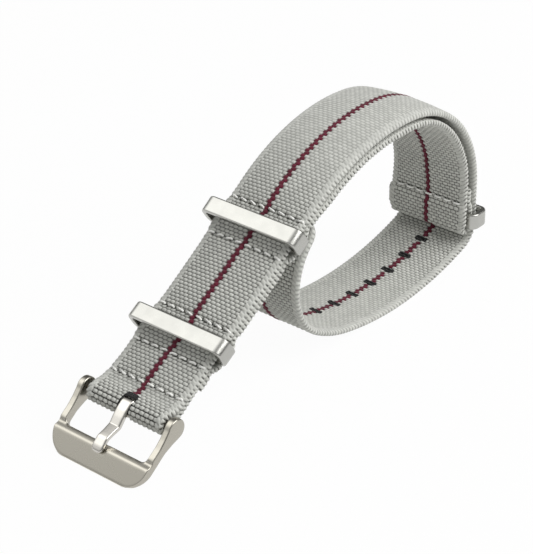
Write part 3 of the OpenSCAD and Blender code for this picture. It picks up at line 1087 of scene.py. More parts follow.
    def build(
        self,
        first: int,
        last: int,
        openings: Sequence[Opening] = (),
        needles: Sequence[Place] = (),
    ) -> bmesh.types.BMesh:
        """Weave the band between two rows.

        Args:
            first: Its first row.
            last: The row before which it ends.
            openings: Its openings.
            needles: Lengths and distances across of needle holes.

        Returns:
            The closed shape, in metres.
        """
        w, cols = self.sizes, self.cross_section
        shares = (0.0, w.row_groove, 0.5, 1.0 - w.row_groove)
        steps = (last - first) * len(shares)
        bm, uv_layer, painted_shade_layer = yarn_shape()
        bmesh.ops.create_grid(bm, x_segments=steps, y_segments=len(cols), size=1.0)
        lines: list[tuple[int, float, float, Station, list[Place]]] = []
        for i in range(steps + 1):
            row, part = divmod(i, len(shares))
            row += first
            u = min((row + shares[part]) * self.pitch, self.course.length)
            near = [place for place in needles if abs(place[0] - u) < w.needle_reach]
            lines.append((row, shares[part], u, self.station(u), near))
        where: dict[bmesh.types.BMVert, tuple[float, float, bool]] = {}
        at: dict[bmesh.types.BMVert, Place] = {}
        for vert in bm.verts:
            row, share, u, here, near = lines[round((vert.co.x + 1) / 2 * steps)]
            col = cols[round((vert.co.y + 1) / 2 * len(cols)) % len(cols)]
            depth, high = self.surface(row, share, u, col, here, near)
            vert.co = here.point(col.y - col.out_y * depth, col.lift - col.out_lift * depth)
            # The height sets the painted shade in the finish.
            vert[painted_shade_layer] = high
            where[vert] = (u, col.y, col.lift < 0)
            at[vert] = (col.y - w.knuckle_pitch / 4, (row + share) * w.row_pitch)
        lay_weave(bm, uv_layer, at)
        self.cut(bm, where, openings)
        bmesh.ops.remove_doubles(bm, verts=bm.verts, dist=1e-6)
        ends = [e for e in bm.edges if e.is_boundary]
        for edge in ends:
            edge.smooth = False
        bmesh.ops.holes_fill(bm, edges=ends, sides=0)
        bmesh.ops.recalc_face_normals(bm, faces=bm.faces)
        return bm

    @staticmethod
    def cut(
        bm: bmesh.types.BMesh,
        where: dict[bmesh.types.BMVert, tuple[float, float, bool]],
        openings: Sequence[Opening],
    ) -> None:
        """Open the openings through both faces and wall them.

        Args:
            bm: The webbing's shape.
            where: Length, distance across and whether on the inner face, by vertex.
            openings: The openings.
        """
        groups: list[list[bmesh.types.BMFace]] = [[] for _ in openings]
        for face in bm.faces if openings else ():
            spots = [where[v] for v in face.verts]
            u = sum(spot[0] for spot in spots) / len(spots)
            y = sum(spot[1] for spot in spots) / len(spots)
            for gone, opening in zip(groups, openings):
                if opening.holds(u, y, spots[0][2]):
                    gone.append(face)
        for gone in groups:
            corners = {v for face in gone for v in face.verts}
            bmesh.ops.delete(bm, geom=gone, context="FACES")
            kept = {v for v in corners if v.is_valid}
            rim = [e for e in bm.edges if e.is_boundary and all(v in kept for v in e.verts)]
            bmesh.ops.bridge_loops(bm, edges=rim)


def tube(points: Sequence[Vector], radii: Sequence[Pair], closed: bool = False) -> bmesh.types.BMesh:
    """Sweep a round or oval yarn along points.

    Args:
        points: The yarn's middle, in metres.
        radii: Its two half widths at each point, in metres.
        closed: Whether the yarn's end meets its start.

    Returns:
        The closed shape.
    """
    spans = len(points) if closed else len(points) - 1
    bm, uv_layer, painted_shade_layer = yarn_shape()
    bmesh.ops.create_grid(bm, x_segments=spans, y_segments=YARN_SIDES, size=1.0)
    travelled = [0.0]
    for a, b in zip(points, points[1:]):
        travelled.append(travelled[-1] + (b - a).length / MM)
    frames: list[tuple[Vector, Vector]] = []
    for k in range(len(points)):
        ahead = points[(k + 1) % len(points)] if closed else points[min(k + 1, spans)]
        behind = points[k - 1] if closed or k else points[0]
        along = (ahead - behind).normalized()
        across = along.cross(Vector((0.0, 1.0, 0.0)))
        if across.length < LEAST_CROSS:
            across = along.cross(Vector((1.0, 0.0, 0.0)))
        across.normalize()
        frames.append((across, across.cross(along).normalized()))
    at: dict[bmesh.types.BMVert, Place] = {}
    for vert in bm.verts:
        k = round((vert.co.x + 1) / 2 * spans) % len(points)
        turn = math.pi * (vert.co.y + 1)
        across, other = frames[k]
        x, y = math.cos(turn), math.sin(turn)
        vert.co = points[k] + across * x * radii[k][0] + other * y * radii[k][1]
        vert[painted_shade_layer] = YARN_SHADE
        at[vert] = (travelled[k], turn / math.pi)
    lay_weave(bm, uv_layer, at)
    bmesh.ops.remove_doubles(bm, verts=bm.verts, dist=1e-7)
    if not closed:
        bmesh.ops.holes_fill(bm, edges=[e for e in bm.edges if e.is_boundary], sides=0)
    bmesh.ops.recalc_face_normals(bm, faces=bm.faces)
    return bm


def swept(rings: Sequence[Sequence[Vector]], capped: bool = False) -> bmesh.types.BMesh:
    """Skin a row of rings that have the same number of points.

    Args:
        rings: The rings' points, in metres.
        capped: Whether the two ends are closed with a face.

    Returns:
        The closed shape.
    """
    count = len(rings[0])
    bm = bmesh.new()
    bmesh.ops.create_grid(bm, x_segments=len(rings) - 1, y_segments=count, size=1.0)
    for vert in bm.verts:
        i = round((vert.co.x + 1) / 2 * (len(rings) - 1))
        j = round((vert.co.y + 1) / 2 * count) % count
        vert.co = rings[i][j]
    bmesh.ops.remove_doubles(bm, verts=bm.verts, dist=2e-7)
    if capped:
        bmesh.ops.holes_fill(bm, edges=[e for e in bm.edges if e.is_boundary], sides=0)
    bmesh.ops.dissolve_degenerate(bm, dist=1e-7, edges=bm.edges)
    bmesh.ops.recalc_face_normals(bm, faces=bm.faces)
    return bm


def joined(shapes: Iterable[bmesh.types.BMesh]) -> bmesh.types.BMesh:
    """Put several shapes into one."""
    whole, _, _ = yarn_shape()
    for part in shapes:
        mesh = bpy.data.meshes.new("part")
        part.to_mesh(mesh)
        part.free()
        whole.from_mesh(mesh)
        bpy.data.meshes.remove(mesh)
    return whole


@dataclass
class Straps:
    """The long strap and the short strap that is sewn under it."""

    path: StrapPath
    places: Places
    shape: ShortStrapShape
    finishes: Finishes
    course_steps: int = 1400

    def main_course(self) -> Course:
        """The long strap's middle line, with its tip."""
        total = self.path.end + self.path.tip_length
        steps = self.course_steps
        marks = [total * i / steps for i in range(steps + 1)]
        points = [self.path.at(s)[:2] for s in marks]
        return Course(points, marks, [Region.RUN] * (steps + 1))

    def needle_places(self, mark: float) -> list[Place]:
        """Where the needle went through along one seam."""
        m = self.path.seams
        starts = m.stitch_starts(self.path.webbing.width)
        return [(mark, end) for y in starts for end in (y, y + m.stitch_length)]

    def weave(
        self,
        band: WovenBand,
        names: Sequence[str],
        node: str,
        openings: Sequence[Opening],
        needles: Sequence[Place],
    ) -> None:
        """Weave a band in pieces of about the same length.

        Args:
            band: The webbing.
            names: The pieces' names, from its start.
            node: The CAD solid that they stand for.
            openings: Its openings.
            needles: Lengths and distances across of its needle holes.
        """
        cuts = [round(band.rows * k / len(names)) for k in range(len(names) + 1)]
        for name, first, last in zip(names, cuts, cuts[1:]):
            start, stop = first * band.pitch, last * band.pitch
            own = [o for o in openings if start < o.u0 < stop]
            pits = [n for n in needles if start - 1.0 < n[0] < stop + 1.0]
            shape = band.build(first, last, own, pits)
            piece = finished(shape, name, self.finishes.webbing, "strap")
            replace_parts(piece, node)

    def build(self) -> None:
        """Weave both straps and their stripes."""
        p, m, sizes = self.places, self.path.seams, self.path.webbing
        seams = [p.row_a, p.row_b, p.row_c, p.row_d, p.row_e]
        band = WovenBand(
            sizes,
            self.main_course(),
            p,
            p.main_camber,
            seams,
            self.path.tip_length,
            relief=p.relief,
            open_outside=p.tail_relief,
        )
        slot = Opening(*p.slot, m.slot_width / 2, m.slot_inner_extra)
        half = m.hole_length / 2 + m.hole_room
        holes = [Opening(s - half, s + half, m.hole_width / 2) for s in p.holes]
        needles = [place for seam in seams for place in self.needle_places(seam)]
        names = ("webbing_front", "webbing_crown", "webbing_tail")
        self.weave(band, names, "main_strap", [slot, *holes], needles)
        room = m.stripe_room
        gaps = [(o.u0 - room, o.u1 + room) for o in holes]
        gaps.append((slot.u0 - room, slot.u1 + m.slot_bar))
        stop = band.course.length - m.stripe_end
        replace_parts(self.stripe(band, "wine_stripe_long", stop, gaps), "main_stripe")
        short = self.shape.course()
        marks = [short.length_at_mark(s) for s in seams[1:] + [p.row_f]]
        short_band = WovenBand(
            sizes,
            short,
            p,
            p.short_camber,
            marks,
            stripe_sides=(Side.INNER,),
            bulge=p.short_bulge,
            relief=p.short_relief,
            stripe_half=0.5,
            stripe_swing=0.4,
        )
        names = ("webbing_short_upper", "webbing_short_lower")
        self.weave(short_band, names, "short_strap", (), self.needle_places(marks[-1]))
        piece = self.stripe(short_band, "wine_stripe_short", short.length, [])
        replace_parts(piece, "short_stripe")
        self.band, self.short_band, self.short_course = band, short_band, short

    def stripe(
        self, band: WovenBand, name: str, stop: float, gaps: Sequence[Place]
    ) -> bpy.types.Object:
        """Weave the centre stripe as a zigzag of raised knuckles.

        Args:
            band: The webbing that it lies in.
            name: The piece's name.
            stop: Length at which it ends.
            gaps: Where stretches that it leaves free start and end.

        Returns:
            The stripe's piece.
        """
        shapes = []
        for side in band.stripe_sides:
            for row in range(int(stop / band.pitch)):
                mid = (row + 0.5) * band.pitch
                if not any(start < mid < end for start, end in gaps):
                    shapes.append(self.stripe_knuckle(band, row, side))
        return finished(joined(shapes), name, self.finishes.stripe, "strap")

    @staticmethod
    def stripe_knuckle(band: WovenBand, row: int, side: Side) -> bmesh.types.BMesh:
        """One knuckle of the stripe, with painted shade towards its base."""
        size, form = band.sizes, band.form
        mid = (row + 0.5) * band.pitch
        bm, uv_layer, painted_shade_layer = yarn_shape()
        bmesh.ops.create_uvsphere(bm, u_segments=8, v_segments=6, radius=1.0)
        middle = size.half - form.stripe_deep - band.press(mid)
        at: dict[bmesh.types.BMVert, Place] = {}
        for vert in bm.verts:
            x, y, z = vert.co
            u = min(mid + form.stripe_rows * band.pitch * x, band.course.length)
            across = band.stripe_half * math.copysign(abs(y) ** form.stripe_square, y)
            across += band.stripe_swing * band.row_middle(row)
            # Painted shade: darker towards the knuckle's base in the webbing, lighter at its top.
            vert[painted_shade_layer] = 0.5 + 0.5 * z
            tint = row + 0.5 + form.stripe_tint * x
            at[vert] = (across - size.knuckle_pitch / 4, tint * size.row_pitch)
            vert.co = band.place(u, across, side.value * (middle + form.stripe_high * z))
        lay_weave(bm, uv_layer, at)
        bmesh.ops.recalc_face_normals(bm, faces=bm.faces)
        return bm


@dataclass
class Sewing:
    """Seam rows, and the near-black yarn round the tongue holes and the fold's slot, whose colour is
    painted shade of the openings' insides.
    """

    straps: Straps
    finishes: Finishes
    dash_steps: int = 14
    dive: float = 0.45
    climb: float = 0.52
    arch: float = 1.9
    wobble: Pair = (0.03, 7.0)
    slant: Pair = (0.3, 2.4)
    twist: Pair = (0.1, 9.5)
    oval: float = 1.15
    edge_steps: int = 64
    edge_inset: float = 0.1
    edge_yarn: float = 0.26
    edge_oval: float = 1.4
    edge_long: float = 2.4
    edge_square: float = 1.6
    whips: int = 14
    whip_height: float = 0.05
    whip_sways: int = 3
    whip_sway: float = 0.03
    slot_yarn: float = 0.12
    slot_steps: int = 24
    slot_top_steps: int = 8
    slot_swell: Pair = (0.03, 2.6)
    slot_rings: tuple[Pair, ...] = ((0.25, 0.0), (-0.35, 0.9))
    bar_dashes: Point = (0.1, 0.5, 0.9)
    bar_yarn: float = 0.24

    def dash(
        self, band: WovenBand, u: float, y0: float, y1: float, lift: float, side: int, radius: float
    ) -> bmesh.types.BMesh:
        """One stitch that dives into the webbing at both ends.

        Args:
            band: The webbing whose place and camber it follows.
            u: Its place along the band.
            y0: Where it starts across the band.
            y1: Where it ends.
            lift: Height of the face it lies on, above the band's middle.
            side: 1 on the outer face, -1 on the inner one.
            radius: Half the yarn's thickness.

        Returns:
            The stitch's shape.
        """
        points, radii = [], []
        for k in range(self.dash_steps + 1):
            f = k / self.dash_steps
            y = y0 + (y1 - y0) * f
            rise = self.climb * min(1.0, math.sin(math.pi * f) * self.arch) - self.dive
            stray = self.wobble[0] * math.sin(self.wobble[1] * y + u)
            stray += self.slant[0] * (f - 0.5) * math.sin(self.slant[1] * y0 + u)
            points.append(band.place(u + stray, y, lift + side * rise))
            thick = radius * MM * (1.0 + self.twist[0] * math.cos(self.twist[1] * (y - y0)))
            radii.append((thick * self.oval, thick))
        return tube(points, radii)

    def row(self, name: str, band: WovenBand, u: float, top: float, bottom: float) -> None:
        """One seam row, on both faces.

        Args:
            name: The CAD node it stands for.
            band: The webbing it follows.
            u: Its place along that band.
            top: Height of the outer face it lies on.
            bottom: Height of the inner face.
        """
        m = self.straps.path.seams
        starts = m.stitch_starts(self.straps.path.webbing.width)
        radius = m.thread / 2
        shapes = []
        for y, following in zip(starts, starts[1:] + [None]):
            end = y + m.stitch_length
            shapes.append(self.dash(band, u, y, end, top, 1, radius))
            if following is not None:
                start, stop = end - m.thread, following + m.thread
                shapes.append(self.dash(band, u, start, stop, bottom, -1, radius))
        thread = self.finishes.thread
        piece = finished(joined(shapes), name + "_thread", thread, "strap")
        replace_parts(piece, name)

    def hole_edge(self, u: float) -> bmesh.types.BMesh:
        """Whipped yarn round one tongue hole, through the webbing, near-black as painted shade of the
        hole.
        """
        m = self.straps.path.seams
        band, half = self.straps.band, self.straps.path.webbing.half - self.edge_inset
        half_y, half_u = m.hole_width / 2 - self.edge_inset, m.hole_length / 2 + self.edge_inset
        shapes = []
        for lift in (half, 0.0, -half):
            points, radii = [], []
            for k in range(self.edge_steps):
                a = 2 * math.pi * k / self.edge_steps
                c, s = math.cos(a), math.sin(a)
                y = (half_y - half_u) * max(-1.0, min(1.0, self.edge_long * s)) + half_u * s
                x = half_u * math.copysign(min(1.0, abs(c) * self.edge_square), c)
                points.append(band.place(u + x, y, lift))
                whip = self.edge_yarn + self.whip_height * math.cos(self.whips * a + u)
                whip += self.whip_sway * math.sin(self.whip_sways * a + 2 * u)
                radii.append((whip * MM, whip * MM * (1.0 if lift else self.edge_oval)))
            shapes.append(tube(points, radii, closed=True))
        return joined(shapes)

    def slot_edge(self) -> bmesh.types.BMesh:
        """Yarn round the slot in the fold, with a whipped bar at its upper end, both near-black as
        painted shade of the slot.
        """
        path, band = self.straps.path, self.straps.band
        low, high = self.straps.places.slot
        half_y = path.seams.slot_width / 2 - self.slot_yarn
        swell, wave = self.slot_swell
        along, over = self.slot_steps, self.slot_top_steps
        shapes = []
        for lift, further in self.slot_rings:
            up = high + further
            side = [(low + (up - low) * k / along, half_y) for k in range(along + 1)]
            top = [(up, half_y * (1 - 2 * k / over)) for k in range(1, over)]
            outline = side + top + [(u, -y) for u, y in reversed(side)] + [(low, -y) for _, y in top]
            points = [band.place(u, y, lift) for u, y in outline]
            thick = [(self.slot_yarn + swell * math.cos(wave * k)) * MM for k in range(len(outline))]
            shapes.append(tube(points, list(zip(thick, thick)), closed=True))
        for beyond in self.bar_dashes:
            lift = path.webbing.half
            shapes.append(self.dash(band, high + beyond, -half_y, half_y, lift, 1, self.bar_yarn))
        return joined(shapes)

    def build(self) -> None:
        """Sew the rows and whip the openings."""
        straps, p = self.straps, self.straps.places
        half = straps.path.webbing.half
        under = -half - straps.path.webbing.layer_pitch
        rows = {"a": p.row_a, "b": p.row_b, "c": p.row_c, "d": p.row_d, "e": p.row_e}
        for letter, s in rows.items():
            self.row("stitch_row_" + letter, straps.band, s, half, under)
        u = straps.short_course.length_at_mark(p.row_f)
        self.row("stitch_row_f", straps.short_band, u, half + straps.path.webbing.layer_pitch, -half)
        opening_shade_yarn = self.finishes.opening_shade_yarn
        edges = joined(self.hole_edge(s) for s in p.holes)
        piece = finished(edges, "hole_edges_painted_shade", opening_shade_yarn, "strap")
        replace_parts(piece, "tongue_hole_edges")
        piece = finished(self.slot_edge(), "slot_edge_painted_shade", opening_shade_yarn, "strap")
        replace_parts(piece, "fold_slot_edge")


@dataclass(frozen=True)
class SteelPart:
    """A steel piece made from its CAD solid with rounded edges."""

    node: str
    name: str
    body: str
    slot: str
    edge: float
    material: bpy.types.Material
    sharp: float = 25.0
    flat: float = 0.7

    def build(self) -> None:
        """Merge the solid's triangles, round its edges and hand it over."""
        bm = bmesh.new()
        bm.from_mesh(frame["nodes"][self.node].data)
        bmesh.ops.remove_doubles(bm, verts=bm.verts, dist=2e-6)
        bmesh.ops.dissolve_limit(bm, angle_limit=math.radians(self.flat), verts=bm.verts, edges=bm.edges)
        least = math.radians(self.sharp)
        bmesh.ops.bevel(
            bm,
            geom=[e for e in bm.edges if e.is_manifold and e.calc_face_angle(0.0) > least],
            offset=self.edge * MM,
            offset_type="OFFSET",
            affect="EDGES",
            segments=3,
            profile=0.5,
            material=-1,
            clamp_overlap=True,
        )
        piece = finished(bm, self.name, self.material, self.body)
        weighted = piece.modifiers.new("even_shading", "WEIGHTED_NORMAL")
        weighted.keep_sharp = False
        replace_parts(piece, self.node)


@dataclass(frozen=True)
class BuckleSizes:
    """Sizes of the pin buckle in millimetres, seen from its bar: forwards, across and upwards."""

    bar_x: float
    bar_z: float
    reach: float = 14.2
    inner_reach: float = 8.4
    outer_half: float = 12.3
    inner_half: float = 10.8
    corner: float = 4.6
    inner_corner: float = 1.3
    lug_radius: float = 2.2
    lug_back: float = 0.6
    neck: float = 0.38
    waist: float = 0.6
    rim_height: float = 1.1
    rim_width: float = 1.3
    rim_roll: float = 0.5
    foot_height: float = -0.5
    foot_chamfer: float = 0.6
    under: float = 0.9
    edge: float = 0.3
    notch: float = 0.2
    notch_half: float = 1.55
    notch_slope: float = 0.16
    notch_gap: float = 0.05
    tongue_half: float = 1.35
    tongue_thickness: float = 1.15
    eye_radius: float = 1.425

    @property
    def lean(self) -> float:
        """Angle at which the buckle leans, its front edge on the floor, in radians."""
        high = -self.foot_height
        return math.asin(self.bar_z / math.hypot(self.reach, high)) - math.atan2(high, self.reach)

    @property
    def ridge(self) -> float:
        """Distance from the bar to the ridge at which the front face starts."""
        return self.inner_reach + self.rim_width

    def point(self, forward: float, across: float, up: float) -> Vector:
        """Point of the leaning buckle, in metres."""
        c, s = math.cos(self.lean), math.sin(self.lean)
        x, z = self.bar_x - forward * c - up * s, self.bar_z - forward * s + up * c
        return Vector((x, across, z)) * MM


def along_line(line: Sequence[Place], x: float) -> float:
    """Height of a bent line at x."""
    for (x0, y0), (x1, y1) in zip(line, line[1:]):
        if x <= x1:
            return y0 + (y1 - y0) * max(0.0, x - x0) / (x1 - x0)
    return line[-1][1]


def five_around(middle: float, step: float) -> list[float]:
    """Five places round a middle one, over which a bend is averaged to round it off."""
    return [middle + k * step for k in (-2, -1, 0, 1, 2)]


@dataclass(frozen=True)
class BuckleFrame:
    """The buckle's frame: two lugs, two arms and the broad front bar, with rolled edges."""

    sizes: BuckleSizes
    material: bpy.types.Material
    bend_step: float = 0.09
    slope_step: float = 0.05
    arc_end: float = 0.5
    roll_end: float = 0.1
    edge_share: float = 0.3
    inset_share: float = 0.45
    bend_ease: Ease = (0.35, 0.65)
    rim_ease: Ease = (-1.0, 1.0)
    lug_flat: float = 0.96
    shoulder: Pair = (1.2, 0.84)
    neck_rise: float = 0.25
    heel: Pair = (0.8, 0.93)
    instep: Pair = (2.6, 0.66)
    lug_steps: int = 12
    arm_steps: int = 24
    corner_steps: int = 18
    edge_steps: int = 4
    rim_steps: int = 16
    notch_spread: float = 0.75
    bar_shares: int = 16
    far_share: float = 0.92

    def top(self, forward: float) -> float:
        """Height of the frame's upper side."""
        z = self.sizes
        line = (
            (-z.lug_back, z.lug_radius * self.lug_flat),
            (self.shoulder[0], z.lug_radius * self.shoulder[1]),
            (z.inner_reach * z.neck, z.rim_height + self.neck_rise),
            (z.inner_reach * z.waist, z.rim_height),
            (z.ridge, z.rim_height),
            (z.reach, z.foot_height),
        )
        lug = math.sqrt(max(0.0, z.lug_radius**2 - forward**2))
        if forward < -z.lug_back:
            return lug
        flat = z.rim_width - self.roll_end
        roll = max(0.0, min(1.0, (z.inner_reach + flat - forward) / flat))
        near = ramp(forward - z.inner_reach, self.rim_ease)
        up = along_line(line, forward)
        return (max(lug, up) if forward < z.lug_radius else up) - z.rim_roll * roll * near

    def bottom(self, forward: float) -> float:
        """Height of its lower side."""
        z = self.sizes
        line = (
            (-z.lug_back, -z.lug_radius * self.lug_flat),
            (self.heel[0], -z.lug_radius * self.heel[1]),
            (self.instep[0], -z.lug_radius * self.instep[1]),
            (z.inner_reach * z.waist, -z.under),
            (z.reach - z.foot_chamfer, z.foot_height - z.foot_chamfer * math.tan(z.lean)),
            (z.reach, z.foot_height),
        )
        lug = -math.sqrt(max(0.0, z.lug_radius**2 - forward**2))
        return lug if forward < -z.lug_back else min(lug, along_line(line, forward))

    def eased(self, side: Callable[[float], float], forward: float) -> float:
        """Height of a side with its bends rounded off, but for the lug's arc."""
        if forward < self.arc_end:
            return side(forward)
        return sum(side(x) for x in five_around(forward, self.bend_step)) / 5

    def plan(self) -> list[tuple[Place, Place]]:
        """Pairs of inner and outer points from one lug round the front to the other."""
        z = self.sizes
        pairs: list[tuple[Place, Place]] = []
        for k in range(self.lug_steps + 1):
            x = -z.lug_radius * math.cos(math.pi / 2 * k / self.lug_steps)
            pairs.append(((x, z.inner_half), (x, z.outer_half)))
        inner_end, outer_end = z.inner_reach - z.inner_corner, z.reach - z.corner
        for k in range(1, self.arm_steps + 1):
            inner = inner_end * k / self.arm_steps
            bend = ramp(k / self.arm_steps, self.bend_ease)
            pairs.append(((inner, z.inner_half), (inner + (outer_end - inner_end) * bend, z.outer_half)))
        for k in range(1, self.corner_steps + 1):
            a = math.pi / 2 * k / self.corner_steps
            s, c = math.sin(a), math.cos(a)
            inner = (inner_end + z.inner_corner * s, z.inner_half - z.inner_corner * (1 - c))
            pairs.append((inner, (outer_end + z.corner * s, z.outer_half - z.corner * (1 - c))))
        inner_half, outer_half = z.inner_half - z.inner_corner, z.outer_half - z.corner
        shares = [k / self.bar_shares for k in range(1, self.bar_shares - 2)]
        slope = z.notch_slope * self.notch_spread
        shares += [1 - (z.notch_half + d) / outer_half for d in (slope, slope / 3, -slope / 3, -slope)]
        for f in sorted(set(shares)) + [self.far_share, 1.0]:
            pairs.append(((z.inner_reach, inner_half * (1 - f)), (z.reach, outer_half * (1 - f))))
        mirrored = [((a[0], -a[1]), (b[0], -b[1])) for a, b in reversed(pairs[:-1])]
        return pairs + mirrored

    def rim_point(self, upper: bool, x: float, y: float, inset: float) -> Vector:
        """Point of the upper or lower side, moved square to it where an edge is rolled.

        Args:
            upper: Whether it lies on the upper side.
            x: Distance forwards from the bar.
            y: Distance across.
            inset: How deep below the side's own height the point lies.

        Returns:
            The point, in metres.
        """
        z = self.sizes
        side, sign = (self.top, 1.0) if upper else (self.bottom, -1.0)
        ahead, behind = x + self.slope_step, max(x - self.slope_step, -z.lug_radius)
        rise = self.eased(side, ahead) - self.eased(side, behind)
        slant = Vector((-rise * sign, ahead - behind)).normalized()
        if x > 0:
            thick = self.eased(self.top, x) - self.eased(self.bottom, x)
            inset = min(inset, self.inset_share * thick)
        up = self.eased(side, x)
        if upper:
            across = ramp(z.notch_half - abs(y), (-z.notch_slope / 2, z.notch_slope))
            up -= z.notch * across * ramp(z.ridge - x, self.rim_ease)
        return z.point(x - inset * slant.x, y, up - inset * slant.y * sign)

    def ring(self, inner: Place, outer: Place) -> list[Vector]:
        """Cross-section of the frame between an inner and an outer point of its plan."""
        width = math.dist(inner, outer)
        edge = min(self.sizes.edge, width * self.edge_share)
        turns = [math.pi / 2 * k / self.edge_steps for k in range(self.edge_steps)]
        near = [(edge * (1 - math.cos(a)), edge * (1 - math.sin(a))) for a in turns]
        steps = self.rim_steps
        flat = [(edge + (width - 2 * edge) * k / steps, 0.0) for k in range(steps + 1)]
        far = [(width - s, e) for s, e in reversed(near)]
        spots = []
        for s, inset in near + flat + far:
            f = s / width
            x, y = (a + (b - a) * f for a, b in zip(inner, outer))
            spots.append((x, y, inset))
        top = [self.rim_point(True, *spot) for spot in spots]
        bottom = [self.rim_point(False, *spot) for spot in reversed(spots)]
        outer_wall = [top[-1].lerp(bottom[0], k / 3) for k in (1, 2)]
        inner_wall = [bottom[-1].lerp(top[0], k / 3) for k in (1, 2)]
        return top + outer_wall + bottom + inner_wall

    def build(self) -> None:
        """Sweep the cross-section round the plan."""
        bm = swept([self.ring(inner, outer) for inner, outer in self.plan()])
        piece = finished(bm, "pin_buckle_frame", self.material, "frame")
        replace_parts(piece, "buckle_frame")


@dataclass(frozen=True)
class BuckleTongue:
    """The buckle's tongue: a steel strip curled round the bar, cranked, with a rounded nose."""

    sizes: BuckleSizes
    material: bpy.types.Material
    eye_steps: int = 24
    eye_start: float = -190.0
    eye_turn: float = 280.0
    steps: int = 90
    bend_step: float = 0.11
    sides: int = 28
    squareness: float = 0.42
    nose_length: float = 1.0
    nose_round: float = 2.2
    tip_length: float = 0.6
    tip_thinning: float = 0.35
    waist: float = 0.1
    waist_reach: float = 1.6
    thinning: float = 0.18
    thin_ease: Ease = (-1.5, 3.0)
    least_half: float = 0.03

    def line(self) -> list[Place]:
        """The strip's middle line, from under the bar to the nose."""
        z = self.sizes
        low = z.rim_height - z.notch + z.notch_gap + z.tongue_thickness / 2
        high = z.eye_radius
        points = []
        for k in range(self.eye_steps + 1):
            a = math.radians(self.eye_start + self.eye_turn * k / self.eye_steps)
            points.append((-high * math.cos(a), high * math.sin(a)))
        inner, ridge = z.inner_reach, z.ridge
        knots = (
            (0.0, high),
            (1.4, high - 0.05),
            (2.8, high - 0.3),
            (4.0, high - 0.6),
            (inner - 3.8, high - 0.75),
            (inner - 0.5, low + 0.3),
            (ridge - 0.15, low + 0.14),
            (ridge + 0.65, low - 0.13),
            (ridge + 1.15, low - 0.42),
        )
        last = knots[-1][0]
        for k in range(1, self.steps + 1):
            x = last * k / self.steps
            window = [min(last, max(0.0, near)) for near in five_around(x, self.bend_step)]
            points.append((x, sum(along_line(knots, near) for near in window) / 5))
        return points

    def halves(self, x: float, left: float, in_eye: bool) -> Pair:
        """Half width and half thickness of the strip at a place.

        Args:
            x: Distance forwards from the bar.
            left: Length left to the nose's end.
            in_eye: Whether the place is on the eye round the bar.

        Returns:
            Both, in millimetres.
        """
        z = self.sizes
        half, thick = z.tongue_half, z.tongue_thickness / 2
        if not in_eye:
            half *= 1.0 - self.waist * bell(x - z.inner_reach + self.waist_reach, self.waist_reach)
            thick *= 1.0 - self.thinning * ramp(x - z.inner_reach, self.thin_ease)
        gone = max(0.0, 1 - left / self.nose_length)
        half *= math.sqrt(1 - gone**self.nose_round)
        thick *= 1.0 - self.tip_thinning * max(0.0, 1 - left / self.tip_length) ** 2
        return max(half, self.least_half), thick

    def build(self) -> None:
        """Sweep a rounded strip along the line."""
        line = self.line()
        turns = [2 * math.pi * k / self.sides for k in range(self.sides)]
        left = sum(math.dist(a, b) for a, b in zip(line, line[1:]))
        rings = []
        for i, (x, up) in enumerate(line):
            if i:
                left -= math.dist(line[i - 1], line[i])
            before, after = line[max(0, i - 1)], line[min(len(line) - 1, i + 1)]
            way = Vector((after[0] - before[0], after[1] - before[1])).normalized()
            half, thick = self.halves(x, max(0.0, left), i <= self.eye_steps)
            ring = []
            for a in turns:
                c, s = math.cos(a), math.sin(a)
                y = half * math.copysign(abs(c) ** self.squareness, c)
                lift = thick * math.copysign(abs(s) ** self.squareness, s)
                ring.append(self.sizes.point(x - way.y * lift, y, up + way.x * lift))
            rings.append(ring)
        bm = swept(rings, capped=True)
        piece = finished(bm, "pin_buckle_tongue", self.material, "tongue")
        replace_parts(piece, "buckle_tongue")


@dataclass
class Hardware:
    """Keepers, buckle and spring bar."""

    finishes: Finishes
    buckle: BuckleSizes
    keeper_edge: float = 0.38

    def build(self) -> None:
        """Round the keepers' edges, form the buckle and dress the spring bar."""
        f = self.finishes
        for place in ("lower", "upper", "end"):
            name, body = "keeper_ring_" + place, place + "_keeper"
            ring = SteelPart("keeper_" + place, name, body, "keeper_steel", self.keeper_edge, f.keeper)
            ring.build()
        BuckleFrame(self.buckle, f.buckle).build()
        BuckleTongue(self.buckle, f.tongue).build()
        for name in ("spring_bar_tube", "spring_bar_pin_near", "spring_bar_pin_far"):
            solid = frame["nodes"][name]
            for slot in solid.material_slots:
                slot.material = f.bar


